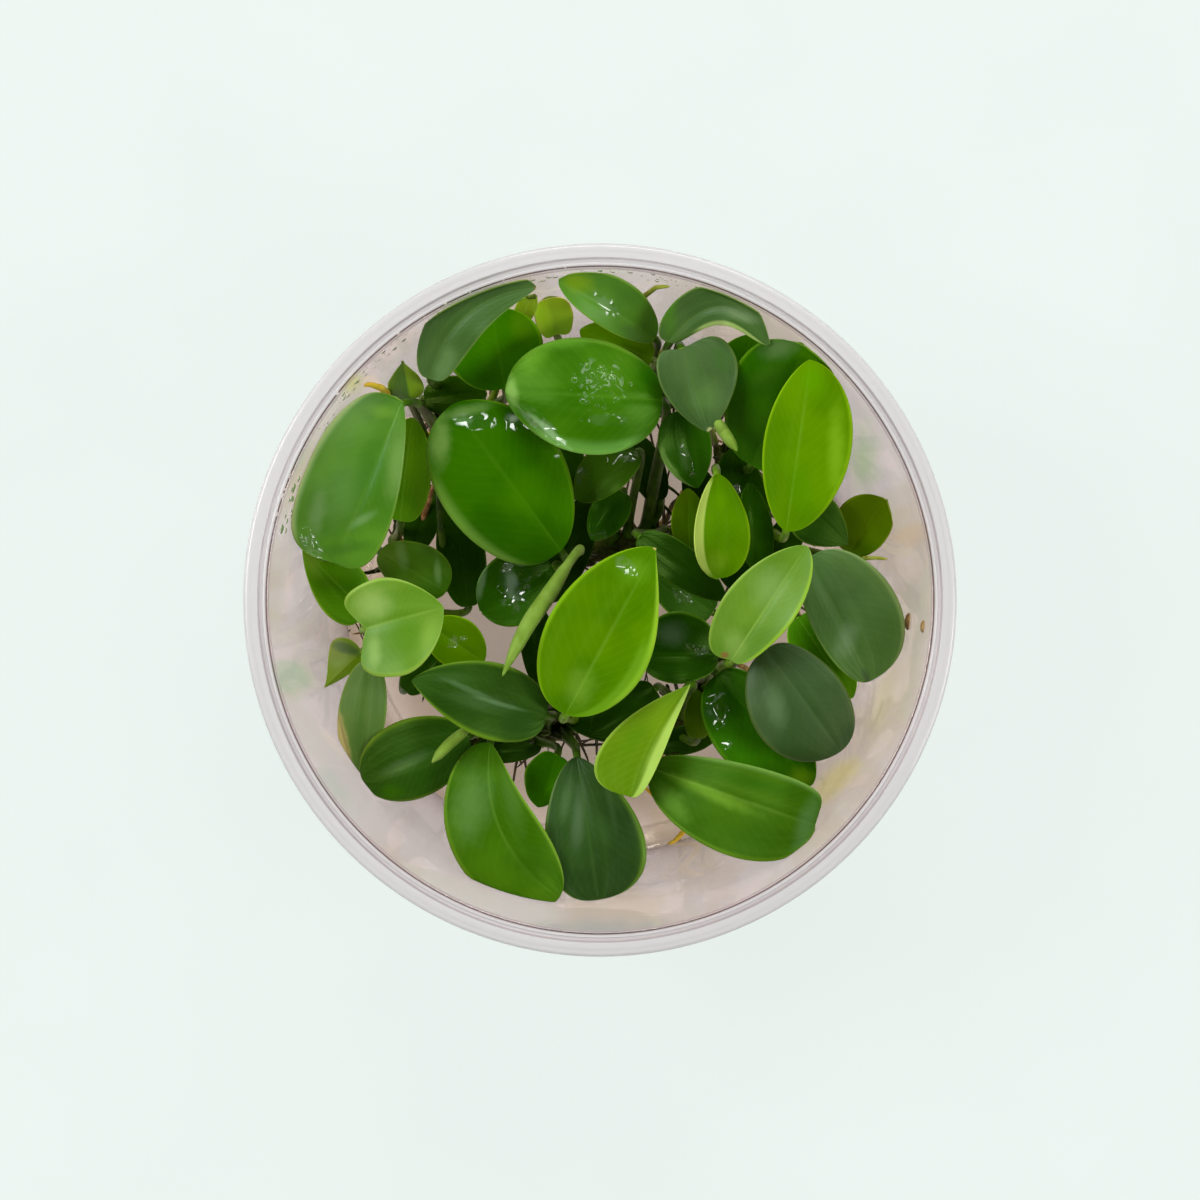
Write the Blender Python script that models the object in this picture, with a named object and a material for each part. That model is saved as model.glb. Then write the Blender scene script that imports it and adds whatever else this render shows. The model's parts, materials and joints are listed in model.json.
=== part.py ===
"""Anubias plantlets on clear gel in a round clear plastic culture cup, lid off.

All sizes are millimetres until a mesh is made, which is in metres. Z is up, the cup stands on
the XY plane and its axis is the Z axis. Each leaf is one solid with its stalk, and each rhizome
is one solid with its roots.
"""

import math
from dataclasses import dataclass

import bmesh
import bpy
from mathutils import Vector

MM = 0.001
UP = Vector((0.0, 0.0, 1.0))
TURN_SIDES = 40

# Cup
CUP_HEIGHT = 62.0
RIM_RADIUS = 50.0
FLANGE_TOP = 61.2
FLANGE_THICKNESS = 1.1
SKIRT_DROP = 2.4
GROOVE_OUTER = 48.0
GROOVE_FLOOR = 60.4
LIP_OUTER = 47.3
WALL = 0.8
INNER_RADIUS_TOP = 46.5
INNER_RADIUS_FLOOR = 36.0
FLOOR_TOP = 1.6
FOOT_OUTER = 35.4
FOOT_INNER = 32.0
FOOT_RECESS = 0.6

# Gel
GEL_TOP = 14.0
GEL_BOTTOM = 2.0
GEL_GAP = 0.4
MENISCUS_RISE = 0.7
MENISCUS_WIDTH = 1.6

# Plants
POCKET_CLEARANCE = 0.35
LEAF_TO_WALL = 0.4
STALK_GAP = 0.4
LEAF_THICKNESS = 0.7
LEAST_SKIN = 0.12
DEEPEST_RIDGE = 1.8
STALK_RADIUS_AT_BLADE = 0.55
SMALL_LEAF = 11.0

# Stalk and blade rings have six points: left edge, three on top, right edge, one below.
RING_ANGLES = tuple(math.radians(angle) for angle in (210, 150, 90, 30, 330, 270))
RING_PLACES = (-1.0, -0.5, 0.0, 0.5, 1.0)

COLOURS = {
    "clear_plastic": ((0.86, 0.87, 0.87), 0.12),
    "gel": ((0.74, 0.71, 0.68), 0.2),
    "deep": ((0.02, 0.075, 0.025), 0.3),
    "mid": ((0.045, 0.16, 0.02), 0.35),
    "lime": ((0.16, 0.33, 0.02), 0.4),
    "grey": ((0.08, 0.18, 0.07), 0.4),
    "rhizome": ((0.10, 0.12, 0.03), 0.6),
}


@dataclass(frozen=True)
class Rhizome:
    """A creeping stem that lies on the gel, from one end to the other, and its roots."""

    name: str
    start: tuple
    end: tuple
    radius: float
    roots: tuple


@dataclass(frozen=True)
class Leaf:
    """A leaf: where its stalk leaves the rhizome, where its blade starts and ends, its shape.

    left and right are the two halves of the blade: the widest place's distance from the midrib,
    how far that edge stands above it, and how the outline draws in at the base and at the tip,
    where a low number is blunt. rise is how far the two handles of the midrib's curve stand above
    the straight line, sweep how far its middle is off to the left.
    """

    name: str
    rhizome: str
    along: float
    base: tuple
    tip: tuple
    left: tuple
    right: tuple
    tone: str = "mid"
    rise: tuple = (1.0, 1.0)
    sweep: float = 0.0
    lobe: float = 0.6
    curl: float = 1.6
    wave: float = 0.0
    stalk: float = 0.8
    lean: tuple = (0.0, 0.0)


@dataclass(frozen=True)
class Furled:
    """A young leaf still rolled into a spear: its stalk's foot, its route and its thickness."""

    name: str
    rhizome: str
    along: float
    route: tuple
    radius: float


# Each root is (place along the rhizome, points it passes through, radius).
RHIZOMES = (
    Rhizome("rhizome_centre", (-7.5, 5.5), (10.0, 10.5), 2.0, (
        (0.1, ((-9, 2, 10), (-14, -2, 6)), 0.5),
        (0.5, ((2, 3, 9), (4, -3, 5)), 0.5),
        (0.9, ((11, 14, 10), (14, 19, 6)), 0.5),
    )),
    Rhizome("rhizome_lower", (-21.0, -21.0), (-3.0, -19.0), 2.1, (
        (0.15, ((-22, -17, 9), (-20, -10, 5)), 0.5),
        (0.6, ((-9, -14, 9), (-12, -8, 5)), 0.5),
        (0.9, ((-3, -25, 10), (0, -31, 6)), 0.5),
    )),
    Rhizome("rhizome_top", (0.0, 32.5), (15.0, 30.0), 1.9, (
        (0.1, ((-1, 29, 9), (-6, 26, 5)), 0.5),
        (0.8, ((14, 26, 9), (19, 24, 5)), 0.5),
    )),
    Rhizome("rhizome_upper_left", (-26.0, 23.5), (-16.0, 29.0), 1.9, (
        (0.2, ((-25, 20, 9), (-21, 16, 5)), 0.5),
        (0.8, ((-14, 26, 9), (-9, 22, 5)), 0.5),
    )),
    Rhizome("rhizome_left", (-31.0, 8.5), (-29.0, -8.5), 1.9, (
        (0.2, ((-27, 7, 9), (-22, 7, 5)), 0.5),
        (0.8, ((-26, -8, 9), (-24, -14, 5)), 0.5),
    )),
    Rhizome("rhizome_lower_right", (20.5, -7.5), (8.0, -23.0), 2.0, (
        (0.1, ((24, -11, 9), (29, -10, 5)), 0.5),
        (0.6, ((19, -20, 9), (25, -23, 5)), 0.5),
        (0.9, ((9, -28, 11), (11, -33, 7)), 0.6),
    )),
    Rhizome("rhizome_right", (26.0, 2.0), (17.5, 23.5), 2.0, (
        (0.1, ((29, 0, 9), (32, -5, 5)), 0.5),
        (0.9, ((22, 25, 9), (27, 23, 5)), 0.5),
    )),
)

LEAVES = (
    Leaf("leaf_upper_left_outer", "rhizome_upper_left", 0.6, (-24.1, 31.4, 55.5), (-9.0, 43.8, 60),
         (2.9, 1.5, 0.5, 1.0), (3.7, 0.2, 0.4, 1.0), "grey", rise=(3, 2), sweep=3.3,
         lean=(0.5, 1.0)),
    Leaf("leaf_upper_left_inner", "rhizome_upper_left", 1.0, (-13.6, 30.4, 46), (-15.5, 41.4, 52),
         (7.5, -0.4, 0.5, 0.5), (6.5, 0.0, 0.5, 0.5), "mid"),
    Leaf("leaf_top_small_upright", "rhizome_top", 0.0, (-6.3, 38.3, 44), (-7.4, 42.9, 50),
         (2.5, 0.4, 0.4, 0.3), (3.0, 0.4, 0.4, 0.3), "lime", stalk=0.6),
    Leaf("leaf_top_bright", "rhizome_top", 0.33, (7.9, 37.4, 50), (-5.8, 44.9, 59.5),
         (2.7, 0.0, 0.5, 0.6), (4.5, 1.7, 0.75, 0.75), "mid", rise=(3, 3)),
    Leaf("leaf_top_tucked", "rhizome_top", 0.17, (7.4, 34.6, 47), (-2.9, 38.5, 50),
         (3.4, -0.4, 0.5, 0.7), (3.4, -0.6, 0.5, 0.7), "mid"),
    Leaf("leaf_top_centre", "rhizome_centre", 0.83, (8.9, 28.4, 53), (-13.5, 29.5, 53.5),
         (8.3, -1.6, 0.45, 0.6), (8.2, -1.2, 0.5, 0.45), "grey", rise=(4, 3), stalk=1.1),
    Leaf("leaf_centre_left_large", "rhizome_centre", 0.17, (-5.6, 7.1, 47), (-21.1, 27.8, 51),
         (9.8, -1.3, 0.4, 0.4), (8.7, -0.6, 0.7, 0.65), "mid", rise=(1.5, 1.5), curl=2.4, stalk=1.0,
         lean=(0.3, -1.0)),
    Leaf("leaf_left_large", "rhizome_upper_left", 0.3, (-28.0, 28.0, 55), (-37.5, 5.1, 52),
         (5.1, -0.5, 0.8, 0.3), (9.1, 2.5, 0.35, 0.25), "grey", rise=(2, 2), stalk=1.0,
         lean=(2.5, -1.5)),
    Leaf("leaf_left_small_folded", "rhizome_upper_left", 0.0, (-27.3, 28.6, 46), (-28.1, 33.9, 51.5),
         (2.9, -1.6, 0.2, 1.0), (2.3, -1.4, 0.2, 1.0), "mid", curl=1.0, stalk=0.6),
    Leaf("leaf_left_olive", "rhizome_left", 0.0, (-29.0, 11.6, 40), (-27.0, 26.2, 45),
         (4.0, 0.0, 0.5, 0.6), (3.8, 0.2, 0.4, 0.6), "mid"),
    Leaf("leaf_left_dark_round", "rhizome_left", 0.17, (-31.9, 7.0, 40), (-22.2, 1.2, 43),
         (4.5, -0.8, 0.55, 0.4), (3.4, -0.5, 0.5, 0.5), "deep"),
    Leaf("leaf_left_lime_heart", "rhizome_left", 0.5, (-33.0, -4.0, 54), (-22.2, -1.0, 55),
         (6.4, 0.6, 0.3, 0.75), (7.8, 0.6, 0.3, 0.65), "lime", lobe=2.4, curl=2.0),
    Leaf("leaf_left_pointed", "rhizome_left", 0.34, (-33.7, -1.7, 46), (-42.6, 7.3, 48),
         (4.2, -0.4, 0.35, 0.9), (4.0, -0.4, 0.5, 0.7), "mid"),
    Leaf("leaf_left_low_folded", "rhizome_left", 0.8, (-34.5, -7.5, 40), (-40.2, -12.8, 38),
         (1.2, -0.5, 0.5, 1.0), (4.1, -1.5, 0.6, 1.5), "mid", curl=1.0, stalk=0.6),
    Leaf("leaf_lower_left_yellowed", "rhizome_left", 1.0, (-33.0, -8.9, 46), (-34.7, -25.7, 42),
         (3.0, 0.3, 0.5, 0.7), (4.0, -1.4, 0.5, 0.5), "mid"),
    Leaf("leaf_lower_left_dark", "rhizome_lower", 0.0, (-19.0, -19.7, 46), (-34.3, -26.0, 43.5),
         (5.6, -0.5, 0.5, 0.45), (5.9, -0.5, 0.5, 0.45), "deep", rise=(1, 2)),
    Leaf("leaf_centre_left_dark", "rhizome_lower", 0.7, (-7.7, -16.4, 51), (-26.7, -11.4, 54.5),
         (5.4, 0.3, 0.5, 0.9), (5.5, -0.6, 0.5, 0.75), "deep", stalk=1.0),
    Leaf("leaf_left_inner_bright", "rhizome_left", 0.66, (-24.3, -4.0, 42), (-16.8, -9.0, 41),
         (3.9, 0.0, 0.5, 0.6), (3.5, 0.0, 0.5, 0.6), "mid", stalk=0.7),
    Leaf("leaf_centre_glossy", "rhizome_centre", 0.0, (-6.9, 4.6, 40), (-17.1, -1.7, 42),
         (5.0, 0.8, 0.5, 0.5), (5.5, 0.8, 0.5, 0.5), "deep", stalk=0.8),
    Leaf("leaf_centre_bright", "rhizome_lower", 1.0, (-4.8, -16.2, 54), (7.9, 7.3, 58),
         (8.7, 0.5, 0.5, 0.65), (6.85, 0.8, 0.75, 1.15), "lime", rise=(1.5, 1.5), stalk=1.1),
    Leaf("leaf_bottom_dark", "rhizome_lower", 0.85, (-3.3, -22.5, 46), (-0.2, -43.0, 46.8),
         (7.9, -0.4, 0.8, 0.4), (6.4, 0.2, 0.65, 0.4), "deep", rise=(1.5, 1.5), stalk=0.9),
    Leaf("leaf_bottom_left", "rhizome_lower", 0.35, (-15.7, -20.5, 48), (-8.6, -42.9, 48),
         (6.85, -0.3, 0.5, 0.3), (6.7, -0.6, 0.75, 0.8), "mid", rise=(2, 2.5), sweep=-3.0, stalk=1.0),
    Leaf("leaf_bottom_wavy", "rhizome_lower", 0.52, (-6.2, -22.6, 40), (-9.0, -30.0, 41),
         (3.0, 0.0, 0.5, 0.7), (3.6, 0.0, 0.5, 0.7), "mid", wave=0.35, stalk=0.7),
    Leaf("leaf_bottom_lime_folded", "rhizome_lower_right", 0.66, (12.8, -12.0, 50),
         (4.3, -28.0, 52.5), (2.3, 1.6, 0.6, 0.6), (6.2, -0.8, 1.1, 0.35), "lime",
         sweep=-1.1, curl=1.0, lean=(0.0, -1.5)),
    Leaf("leaf_bottom_right_large", "rhizome_lower_right", 1.0, (7.3, -24.1, 47), (30.5, -31.9, 54),
         (5.3, -0.4, 0.42, 0.15), (8.0, 1.5, 0.55, 0.4), "mid", rise=(2, 2), stalk=1.0),
    Leaf("leaf_right_low_dark", "rhizome_lower_right", 0.18, (23.7, -7.1, 50), (34.3, -21.7, 49.5),
         (6.0, -0.4, 0.5, 0.45), (8.0, -1.2, 0.5, 0.45), "deep", rise=(1, 2), curl=2.4),
    Leaf("leaf_right_grey", "rhizome_right", 0.2, (29.6, 6.0, 51), (38.5, -11.6, 50.5),
         (8.8, 0.0, 0.45, 0.4), (4.0, 0.0, 0.5, 0.5), "grey", rise=(1, 1.5)),
    Leaf("leaf_right_light", "rhizome_lower_right", 0.3, (18.7, -8.5, 54), (29.0, 7.6, 59),
         (5.9, 0.4, 0.4, 0.7), (4.1, 0.9, 0.65, 0.6), "lime", rise=(1.5, 1), lobe=1.4),
    Leaf("leaf_right_lime", "rhizome_right", 0.52, (26.4, 9.8, 54), (29.5, 33.7, 60),
         (4.95, 0.6, 0.75, 0.75), (7.5, 0.2, 0.6, 0.55), "lime"),
    Leaf("leaf_upper_right_dark", "rhizome_right", 0.9, (21.8, 19.4, 46), (28.8, 35.6, 59),
         (7.8, 0.0, 0.5, 0.35), (8.6, 2.0, 0.5, 0.45), "deep", rise=(2, 2)),
    Leaf("leaf_top_heart", "rhizome_top", 0.66, (11.6, 35.3, 57), (15.3, 23.8, 55),
         (6.9, -0.3, 0.3, 0.75), (4.5, -0.3, 0.3, 0.75), "grey", lobe=0.9),
    Leaf("leaf_top_small_dark", "rhizome_top", 0.82, (11.7, 26.9, 48), (14.0, 16.1, 45),
         (3.3, 0.8, 0.5, 0.8), (4.3, 0.8, 0.5, 0.8), "deep"),
    Leaf("leaf_centre_right_lime", "rhizome_right", 0.8, (16.7, 18.0, 50), (17.1, 3.1, 49),
         (4.5, 0.0, 0.75, 0.5), (3.5, 1.6, 0.8, 0.5), "lime"),
    Leaf("leaf_top_right_curled", "rhizome_top", 0.5, (9.9, 36.5, 55), (23.8, 35.9, 59),
         (3.3, 1.8, 0.4, 0.9), (2.6, -0.5, 0.5, 0.5), "grey", rise=(4, 3), sweep=5.0),
    Leaf("leaf_top_right_hidden", "rhizome_top", 1.0, (19.4, 29.9, 45), (21.7, 38.0, 48),
         (4.0, 0.0, 0.5, 0.7), (4.0, 0.0, 0.5, 0.7), "deep", stalk=0.7),
    Leaf("leaf_centre_top_olive", "rhizome_centre", 0.66, (5.3, 21.3, 43), (-3.2, 14.4, 42),
         (2.6, 0.3, 0.5, 0.6), (4.4, 0.3, 0.5, 0.6), "mid", stalk=0.7),
    Leaf("leaf_centre_small_dark", "rhizome_centre", 0.5, (3.2, 15.7, 36), (-1.2, 8.7, 37),
         (2.8, 0.4, 0.5, 0.7), (2.8, 0.4, 0.5, 0.7), "deep", stalk=0.6),
    Leaf("leaf_inner_right_strip", "rhizome_right", 0.7, (13.0, 7.5, 39), (12.7, 16.2, 41),
         (2.6, 0.0, 0.5, 0.7), (2.6, 0.0, 0.5, 0.7), "deep", stalk=0.6),
    Leaf("leaf_inner_right_long", "rhizome_centre", 1.0, (5.8, 9.1, 43), (18.2, 0.0, 44),
         (3.0, 0.5, 0.5, 0.7), (2.8, 0.5, 0.5, 0.7), "deep", stalk=0.7),
    Leaf("leaf_inner_right_low", "rhizome_right", 0.0, (16.3, -1.7, 38), (7.2, 4.1, 39),
         (3.6, 0.3, 0.5, 0.7), (3.6, 0.3, 0.5, 0.7), "deep", stalk=0.7),
    Leaf("leaf_inner_right_black", "rhizome_lower_right", 0.0, (16.8, -7.8, 44.6),
         (5.7, -7.8, 45.6), (4.2, 0.8, 0.5, 0.5), (6.2, 0.8, 0.5, 0.5), "deep", stalk=0.8),
    Leaf("leaf_inner_lower_dark", "rhizome_lower_right", 0.52, (7.9, -13.0, 42),
         (-1.4, -19.5, 41), (3.3, 0.0, 0.5, 0.7), (3.3, 0.0, 0.5, 0.7), "deep", stalk=0.6,
         lean=(-1.0, 0.0)),
    Leaf("leaf_lower_right_olive", "rhizome_lower_right", 0.82, (14.3, -20.2, 34),
         (14.2, -13.1, 36), (2.0, 0.0, 0.5, 0.7), (2.0, 0.0, 0.5, 0.7), "mid", stalk=0.6),
    Leaf("leaf_lower_right_glossy", "rhizome_lower_right", 0.41, (16.9, -10.8, 43),
         (30.5, -26.6, 45), (5.0, 0.5, 0.5, 0.6), (7.2, 0.5, 0.5, 0.6), "deep"),
    Leaf("leaf_right_strip", "rhizome_right", 0.08, (28.5, -2.6, 45), (36.3, -14.1, 45.5),
         (4.0, 0.0, 0.5, 0.7), (4.0, 0.0, 0.5, 0.7), "mid", stalk=0.7),
    Leaf("leaf_right_pointed", "rhizome_right", 0.62, (28.7, 14.3, 47), (35.6, 8.0, 46),
         (3.2, 0.0, 0.5, 0.7), (4.3, 0.0, 0.5, 0.7), "deep", stalk=0.7),
    Leaf("leaf_right_olive", "rhizome_right", 0.32, (35.9, 6.9, 42), (40.9, 14.4, 46),
         (4.7, 0.2, 0.5, 0.5), (3.4, 0.2, 0.5, 0.5), "mid", stalk=0.7),
    Leaf("leaf_inner_right_deep", "rhizome_right", 0.4, (23.3, 4.5, 40), (21.5, 17.0, 42),
         (2.6, 0.0, 0.5, 0.7), (2.6, 0.0, 0.5, 0.7), "deep", stalk=0.7),
)

FURLED = (
    Furled("furled_leaf_centre", "rhizome_centre", 0.34,
           ((-3.0, 7.2, 46), (-4.6, 5.0, 52), (-7.5, 0.5, 54.5), (-10.5, -4.0, 57), (-13.8, -10.8, 58)), 1.0),
    Furled("furled_leaf_left", "rhizome_lower", 0.15,
           ((-18.8, -18.3, 49), (-21.5, -20.5, 50.5), (-24.0, -23.2, 51)), 0.7),
    Furled("furled_leaf_right", "rhizome_right", 1.0,
           ((16.3, 25.6, 52.5), (17.6, 23.7, 54.5), (19.4, 21.0, 56)), 0.75),
)


def clear_scene():
    """Takes every object out of the scene."""
    for item in list(bpy.data.objects):
        bpy.data.objects.remove(item, do_unlink=True)


def material(name):
    """The material of one colour name, made once."""
    if name in bpy.data.materials:
        return bpy.data.materials[name]
    colour, roughness = COLOURS[name]
    made = bpy.data.materials.new(name)
    made.use_nodes = True
    shader = made.node_tree.nodes["Principled BSDF"]
    shader.inputs["Base Color"].default_value = (*colour, 1.0)
    shader.inputs["Roughness"].default_value = roughness
    shader.inputs["Metallic"].default_value = 0.0
    if name in ("clear_plastic", "gel"):
        shader.inputs["Alpha"].default_value = 0.4
    return made


def add_object(name, mesh_builder, colour):
    """Links an object made from a bmesh whose coordinates are millimetres."""
    bmesh.ops.scale(mesh_builder, vec=(MM, MM, MM), verts=mesh_builder.verts)
    mesh = bpy.data.meshes.new(name)
    mesh_builder.to_mesh(mesh)
    mesh_builder.free()
    mesh.shade_smooth()
    mesh.set_sharp_from_angle(angle=math.radians(40))
    mesh.materials.append(material(colour))
    item = bpy.data.objects.new(name, mesh)
    bpy.context.scene.collection.objects.link(item)
    return item


def add_rings(mesh_builder, rings, first_cap=True, last_point=None):
    """Joins rings of points into one closed skin, with a flat first end and a last end or point."""
    rows = [[mesh_builder.verts.new(point) for point in ring] for ring in rings]
    for lower, upper in zip(rows, rows[1:]):
        for index in range(len(lower)):
            after = (index + 1) % len(lower)
            mesh_builder.faces.new((lower[index], lower[after], upper[after], upper[index]))
    if first_cap:
        mesh_builder.faces.new(list(reversed(rows[0])))
    if last_point is None:
        mesh_builder.faces.new(rows[-1])
        return
    top = mesh_builder.verts.new(last_point)
    for index in range(len(rows[-1])):
        after = (index + 1) % len(rows[-1])
        mesh_builder.faces.new((rows[-1][index], rows[-1][after], top))


def bezier(points, place):
    """The point at place, 0 to 1, on the cubic curve with these four points."""
    a, b, c, d = points
    rest = 1.0 - place
    return a * rest**3 + b * (3 * rest**2 * place) + c * (3 * rest * place**2) + d * place**3


def through(points, place):
    """The point at place, 0 to 1, on a smooth curve that passes through all points."""
    spans = len(points) - 1
    span = min(int(place * spans), spans - 1)
    local = place * spans - span
    before = points[max(span - 1, 0)]
    start, end = points[span], points[span + 1]
    after = points[min(span + 2, spans)]
    handles = (start, start + (end - before) / 6, end - (after - start) / 6, end)
    return bezier(handles, local)


def direction(curve, place):
    """The unit direction of a curve function at place."""
    step = 0.01
    low, high = max(place - step, 0.0), min(place + step, 1.0)
    return (curve(high) - curve(low)).normalized()


def wall_radius(height):
    """The radius of the cup's inner face at a height."""
    share = (height - FLOOR_TOP) / (CUP_HEIGHT - FLOOR_TOP)
    return INNER_RADIUS_FLOOR + (INNER_RADIUS_TOP - INNER_RADIUS_FLOOR) * share


def outside_cup(point):
    """Whether a leaf's point is past the inner face of the wall, less its clearance."""
    return math.hypot(point.x, point.y) > wall_radius(point.z) - LEAF_TO_WALL


def inside_cup(point):
    """The point, moved in to the wall where it would pass through it."""
    limit = wall_radius(point.z) - LEAF_TO_WALL
    reach = math.hypot(point.x, point.y)
    if reach <= limit:
        return point
    return Vector((point.x * limit / reach, point.y * limit / reach, point.z))


def turned(name, profile, colour):
    """A closed solid turned about Z from a profile of (radius, height) that starts and ends on it."""
    mesh_builder = bmesh.new()
    rows = []
    for radius, height in profile[1:-1]:
        turns = [2 * math.pi * step / TURN_SIDES for step in range(TURN_SIDES)]
        rows.append([(radius * math.cos(turn), radius * math.sin(turn), height) for turn in turns])
    add_rings(mesh_builder, rows)
    return add_object(name, mesh_builder, colour)


def make_cup():
    """The cup: foot ring, sloping wall, lip, lid groove and flange, open at the top."""
    outer_floor = INNER_RADIUS_FLOOR + WALL
    outer_top = INNER_RADIUS_TOP + WALL
    flange_under = FLANGE_TOP - FLANGE_THICKNESS
    profile = (
        (0.0, FOOT_RECESS),
        (FOOT_INNER, FOOT_RECESS),
        (FOOT_INNER + 0.6, 0.0),
        (FOOT_OUTER, 0.0),
        (outer_floor, FLOOR_TOP),
        (outer_top - 0.3, flange_under),
        (RIM_RADIUS - WALL, flange_under),
        (RIM_RADIUS - WALL, flange_under - SKIRT_DROP),
        (RIM_RADIUS, flange_under - SKIRT_DROP),
        (RIM_RADIUS, FLANGE_TOP - 0.3),
        (RIM_RADIUS - 0.4, FLANGE_TOP),
        (GROOVE_OUTER, FLANGE_TOP),
        (GROOVE_OUTER - 0.2, GROOVE_FLOOR),
        (LIP_OUTER, GROOVE_FLOOR),
        (LIP_OUTER, CUP_HEIGHT),
        (INNER_RADIUS_TOP, CUP_HEIGHT),
        (INNER_RADIUS_FLOOR, FLOOR_TOP),
        (0.0, FLOOR_TOP),
    )
    turned("cup", profile, "clear_plastic")


def tube(mesh_builder, curve, radii, sides, steps, point_end=True):
    """A round tube along a curve function, with one radius per step and a pointed or flat end."""
    rings = []
    across = None
    for index, radius in enumerate(radii):
        place = index / steps
        forward = direction(curve, place)
        if across is None:
            across = forward.orthogonal().normalized()
        across = (across - forward * across.dot(forward)).normalized()
        other = forward.cross(across)
        turns = [2 * math.pi * step / sides for step in range(sides)]
        centre = curve(place)
        rings.append([centre + (across * math.cos(t) + other * math.sin(t)) * radius for t in turns])
    add_rings(mesh_builder, rings, last_point=curve(1.0) if point_end else None)


def rhizome_points(rhizome):
    """The two ends of a rhizome's axis, lying on the gel."""
    height = GEL_TOP + rhizome.radius + 0.4
    return Vector((*rhizome.start, height)), Vector((*rhizome.end, height))


def root_curve(rhizome, root):
    """The smooth route of one root, from inside the rhizome to its end in the gel."""
    along, points, _ = root
    start, end = rhizome_points(rhizome)
    origin = start.lerp(end, along)
    first = Vector(points[0])
    neck = Vector((origin.x * 0.6 + first.x * 0.4, origin.y * 0.6 + first.y * 0.4, GEL_TOP - 0.5))
    route = [origin, neck] + [Vector(point) for point in points]
    return lambda place: through(route, place)


def make_root(name, rhizome, root, extra):
    """One root as a hidden helper, thicker by extra all round."""
    curve = root_curve(rhizome, root)
    radius = root[2] + extra
    shares = (0.7, 1.0, 0.95, 0.8)
    mesh_builder = bmesh.new()
    end = curve(1.0) + direction(curve, 1.0) * extra

    def longer(place):
        return curve(place) if place < 1.0 else end

    tube(mesh_builder, longer, [radius * share for share in shares], 5, len(shares))
    item = add_object(name, mesh_builder, "rhizome")
    hide(item)
    return item


def hide(item):
    """Keeps a helper out of the finished model."""
    item.hide_render = True
    item.display_type = "WIRE"


def boolean(item, other, operation):
    """Adds an exact Boolean of item with other."""
    cut = item.modifiers.new(operation.lower() + "_" + other.name, "BOOLEAN")
    cut.operation = operation
    cut.solver = "EXACT"
    cut.object = other


def make_rhizomes(gel):
    """The rhizomes with their roots, and the pockets that the roots fill in the gel."""
    for rhizome in RHIZOMES:
        start, end = rhizome_points(rhizome)
        swell = (0.55, 0.95, 0.8, 1.0, 0.85, 1.0, 0.75, 0.5)
        mesh_builder = bmesh.new()

        def axis(place, start=start, end=end):
            return start.lerp(end, place)

        radii = [rhizome.radius * share for share in swell]
        tube(mesh_builder, axis, radii, 7, len(swell) - 1, point_end=False)
        body = add_object(rhizome.name, mesh_builder, "rhizome")
        for number, root in enumerate(rhizome.roots, 1):
            label = f"{rhizome.name}_root_{number}"
            boolean(body, make_root(label, rhizome, root, 0.0), "UNION")
            boolean(gel, make_root(label + "_pocket", rhizome, root, POCKET_CLEARANCE), "DIFFERENCE")


def make_gel():
    """The gel: a round block with a low rim where it climbs the wall."""
    def reach(height):
        return wall_radius(height) - GEL_GAP

    profile = (
        (0.0, GEL_BOTTOM),
        (reach(GEL_BOTTOM), GEL_BOTTOM),
        (reach(GEL_TOP + MENISCUS_RISE), GEL_TOP + MENISCUS_RISE),
        (reach(GEL_TOP) - MENISCUS_WIDTH, GEL_TOP),
        (0.0, GEL_TOP),
    )
    return turned("agar_gel", profile, "gel")


def stalk_start(rhizome_name, along, toward):
    """Where a stalk leaves its rhizome, and in which direction, leaning toward a point."""
    rhizome = next(item for item in RHIZOMES if item.name == rhizome_name)
    start, end = rhizome_points(rhizome)
    centre = start.lerp(end, along)
    flat = Vector((toward.x - centre.x, toward.y - centre.y, 0.0))
    lean = min(flat.length / 12.0, 1.0)
    away = (UP + (flat.normalized() if flat.length > 0.01 else UP) * lean).normalized()
    return centre + away * (rhizome.radius + STALK_GAP), away


def outline(place, base, tip):
    """The share of the full half width at a place along the blade, 1 at its widest."""
    widest = base / (base + tip)
    peak = widest**base * (1.0 - widest) ** tip
    return place**base * (1.0 - place) ** tip / peak


def midrib(leaf):
    """The blade's midrib as a curve function."""
    base, tip = Vector(leaf.base), Vector(leaf.tip)
    chord = tip - base
    aside = UP.cross(chord).normalized() * (leaf.sweep / 0.75)
    points = (
        base,
        base + chord / 3 + aside + UP * leaf.rise[0],
        base + chord * 2 / 3 + aside + UP * leaf.rise[1],
        tip,
    )
    return lambda place: bezier(points, place)


def blade_ring(leaf, place):
    """The six points round the blade at a place along it."""
    curve = midrib(leaf)
    forward = direction(curve, place)
    side = UP.cross(forward).normalized()
    normal = forward.cross(side)
    back = leaf.lobe * max(0.0, 1.0 - place / 0.35) ** 2

    def point(across, share):
        half, lift, base_end, tip_end = leaf.left if across < 0 else leaf.right
        width = outline(place, base_end, tip_end) * share
        far = abs(across)
        rise = (lift * far**leaf.curl + leaf.wave * math.sin(place * 14.0 + across) * far**2) * width
        flat = curve(place) - side * (across * half * width) - forward * (back * far * 2.0 * width)
        return flat + normal * rise

    ring = []
    for across in RING_PLACES:
        share = 1.0
        while share > 0.5 and outside_cup(point(math.copysign(1.0, across), share)):
            share -= 0.02
        ring.append(inside_cup(point(across, share)))
    ring.append(inside_cup(ring[2] - normal * ridge_depth(ring, side, normal)))
    return ring


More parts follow.
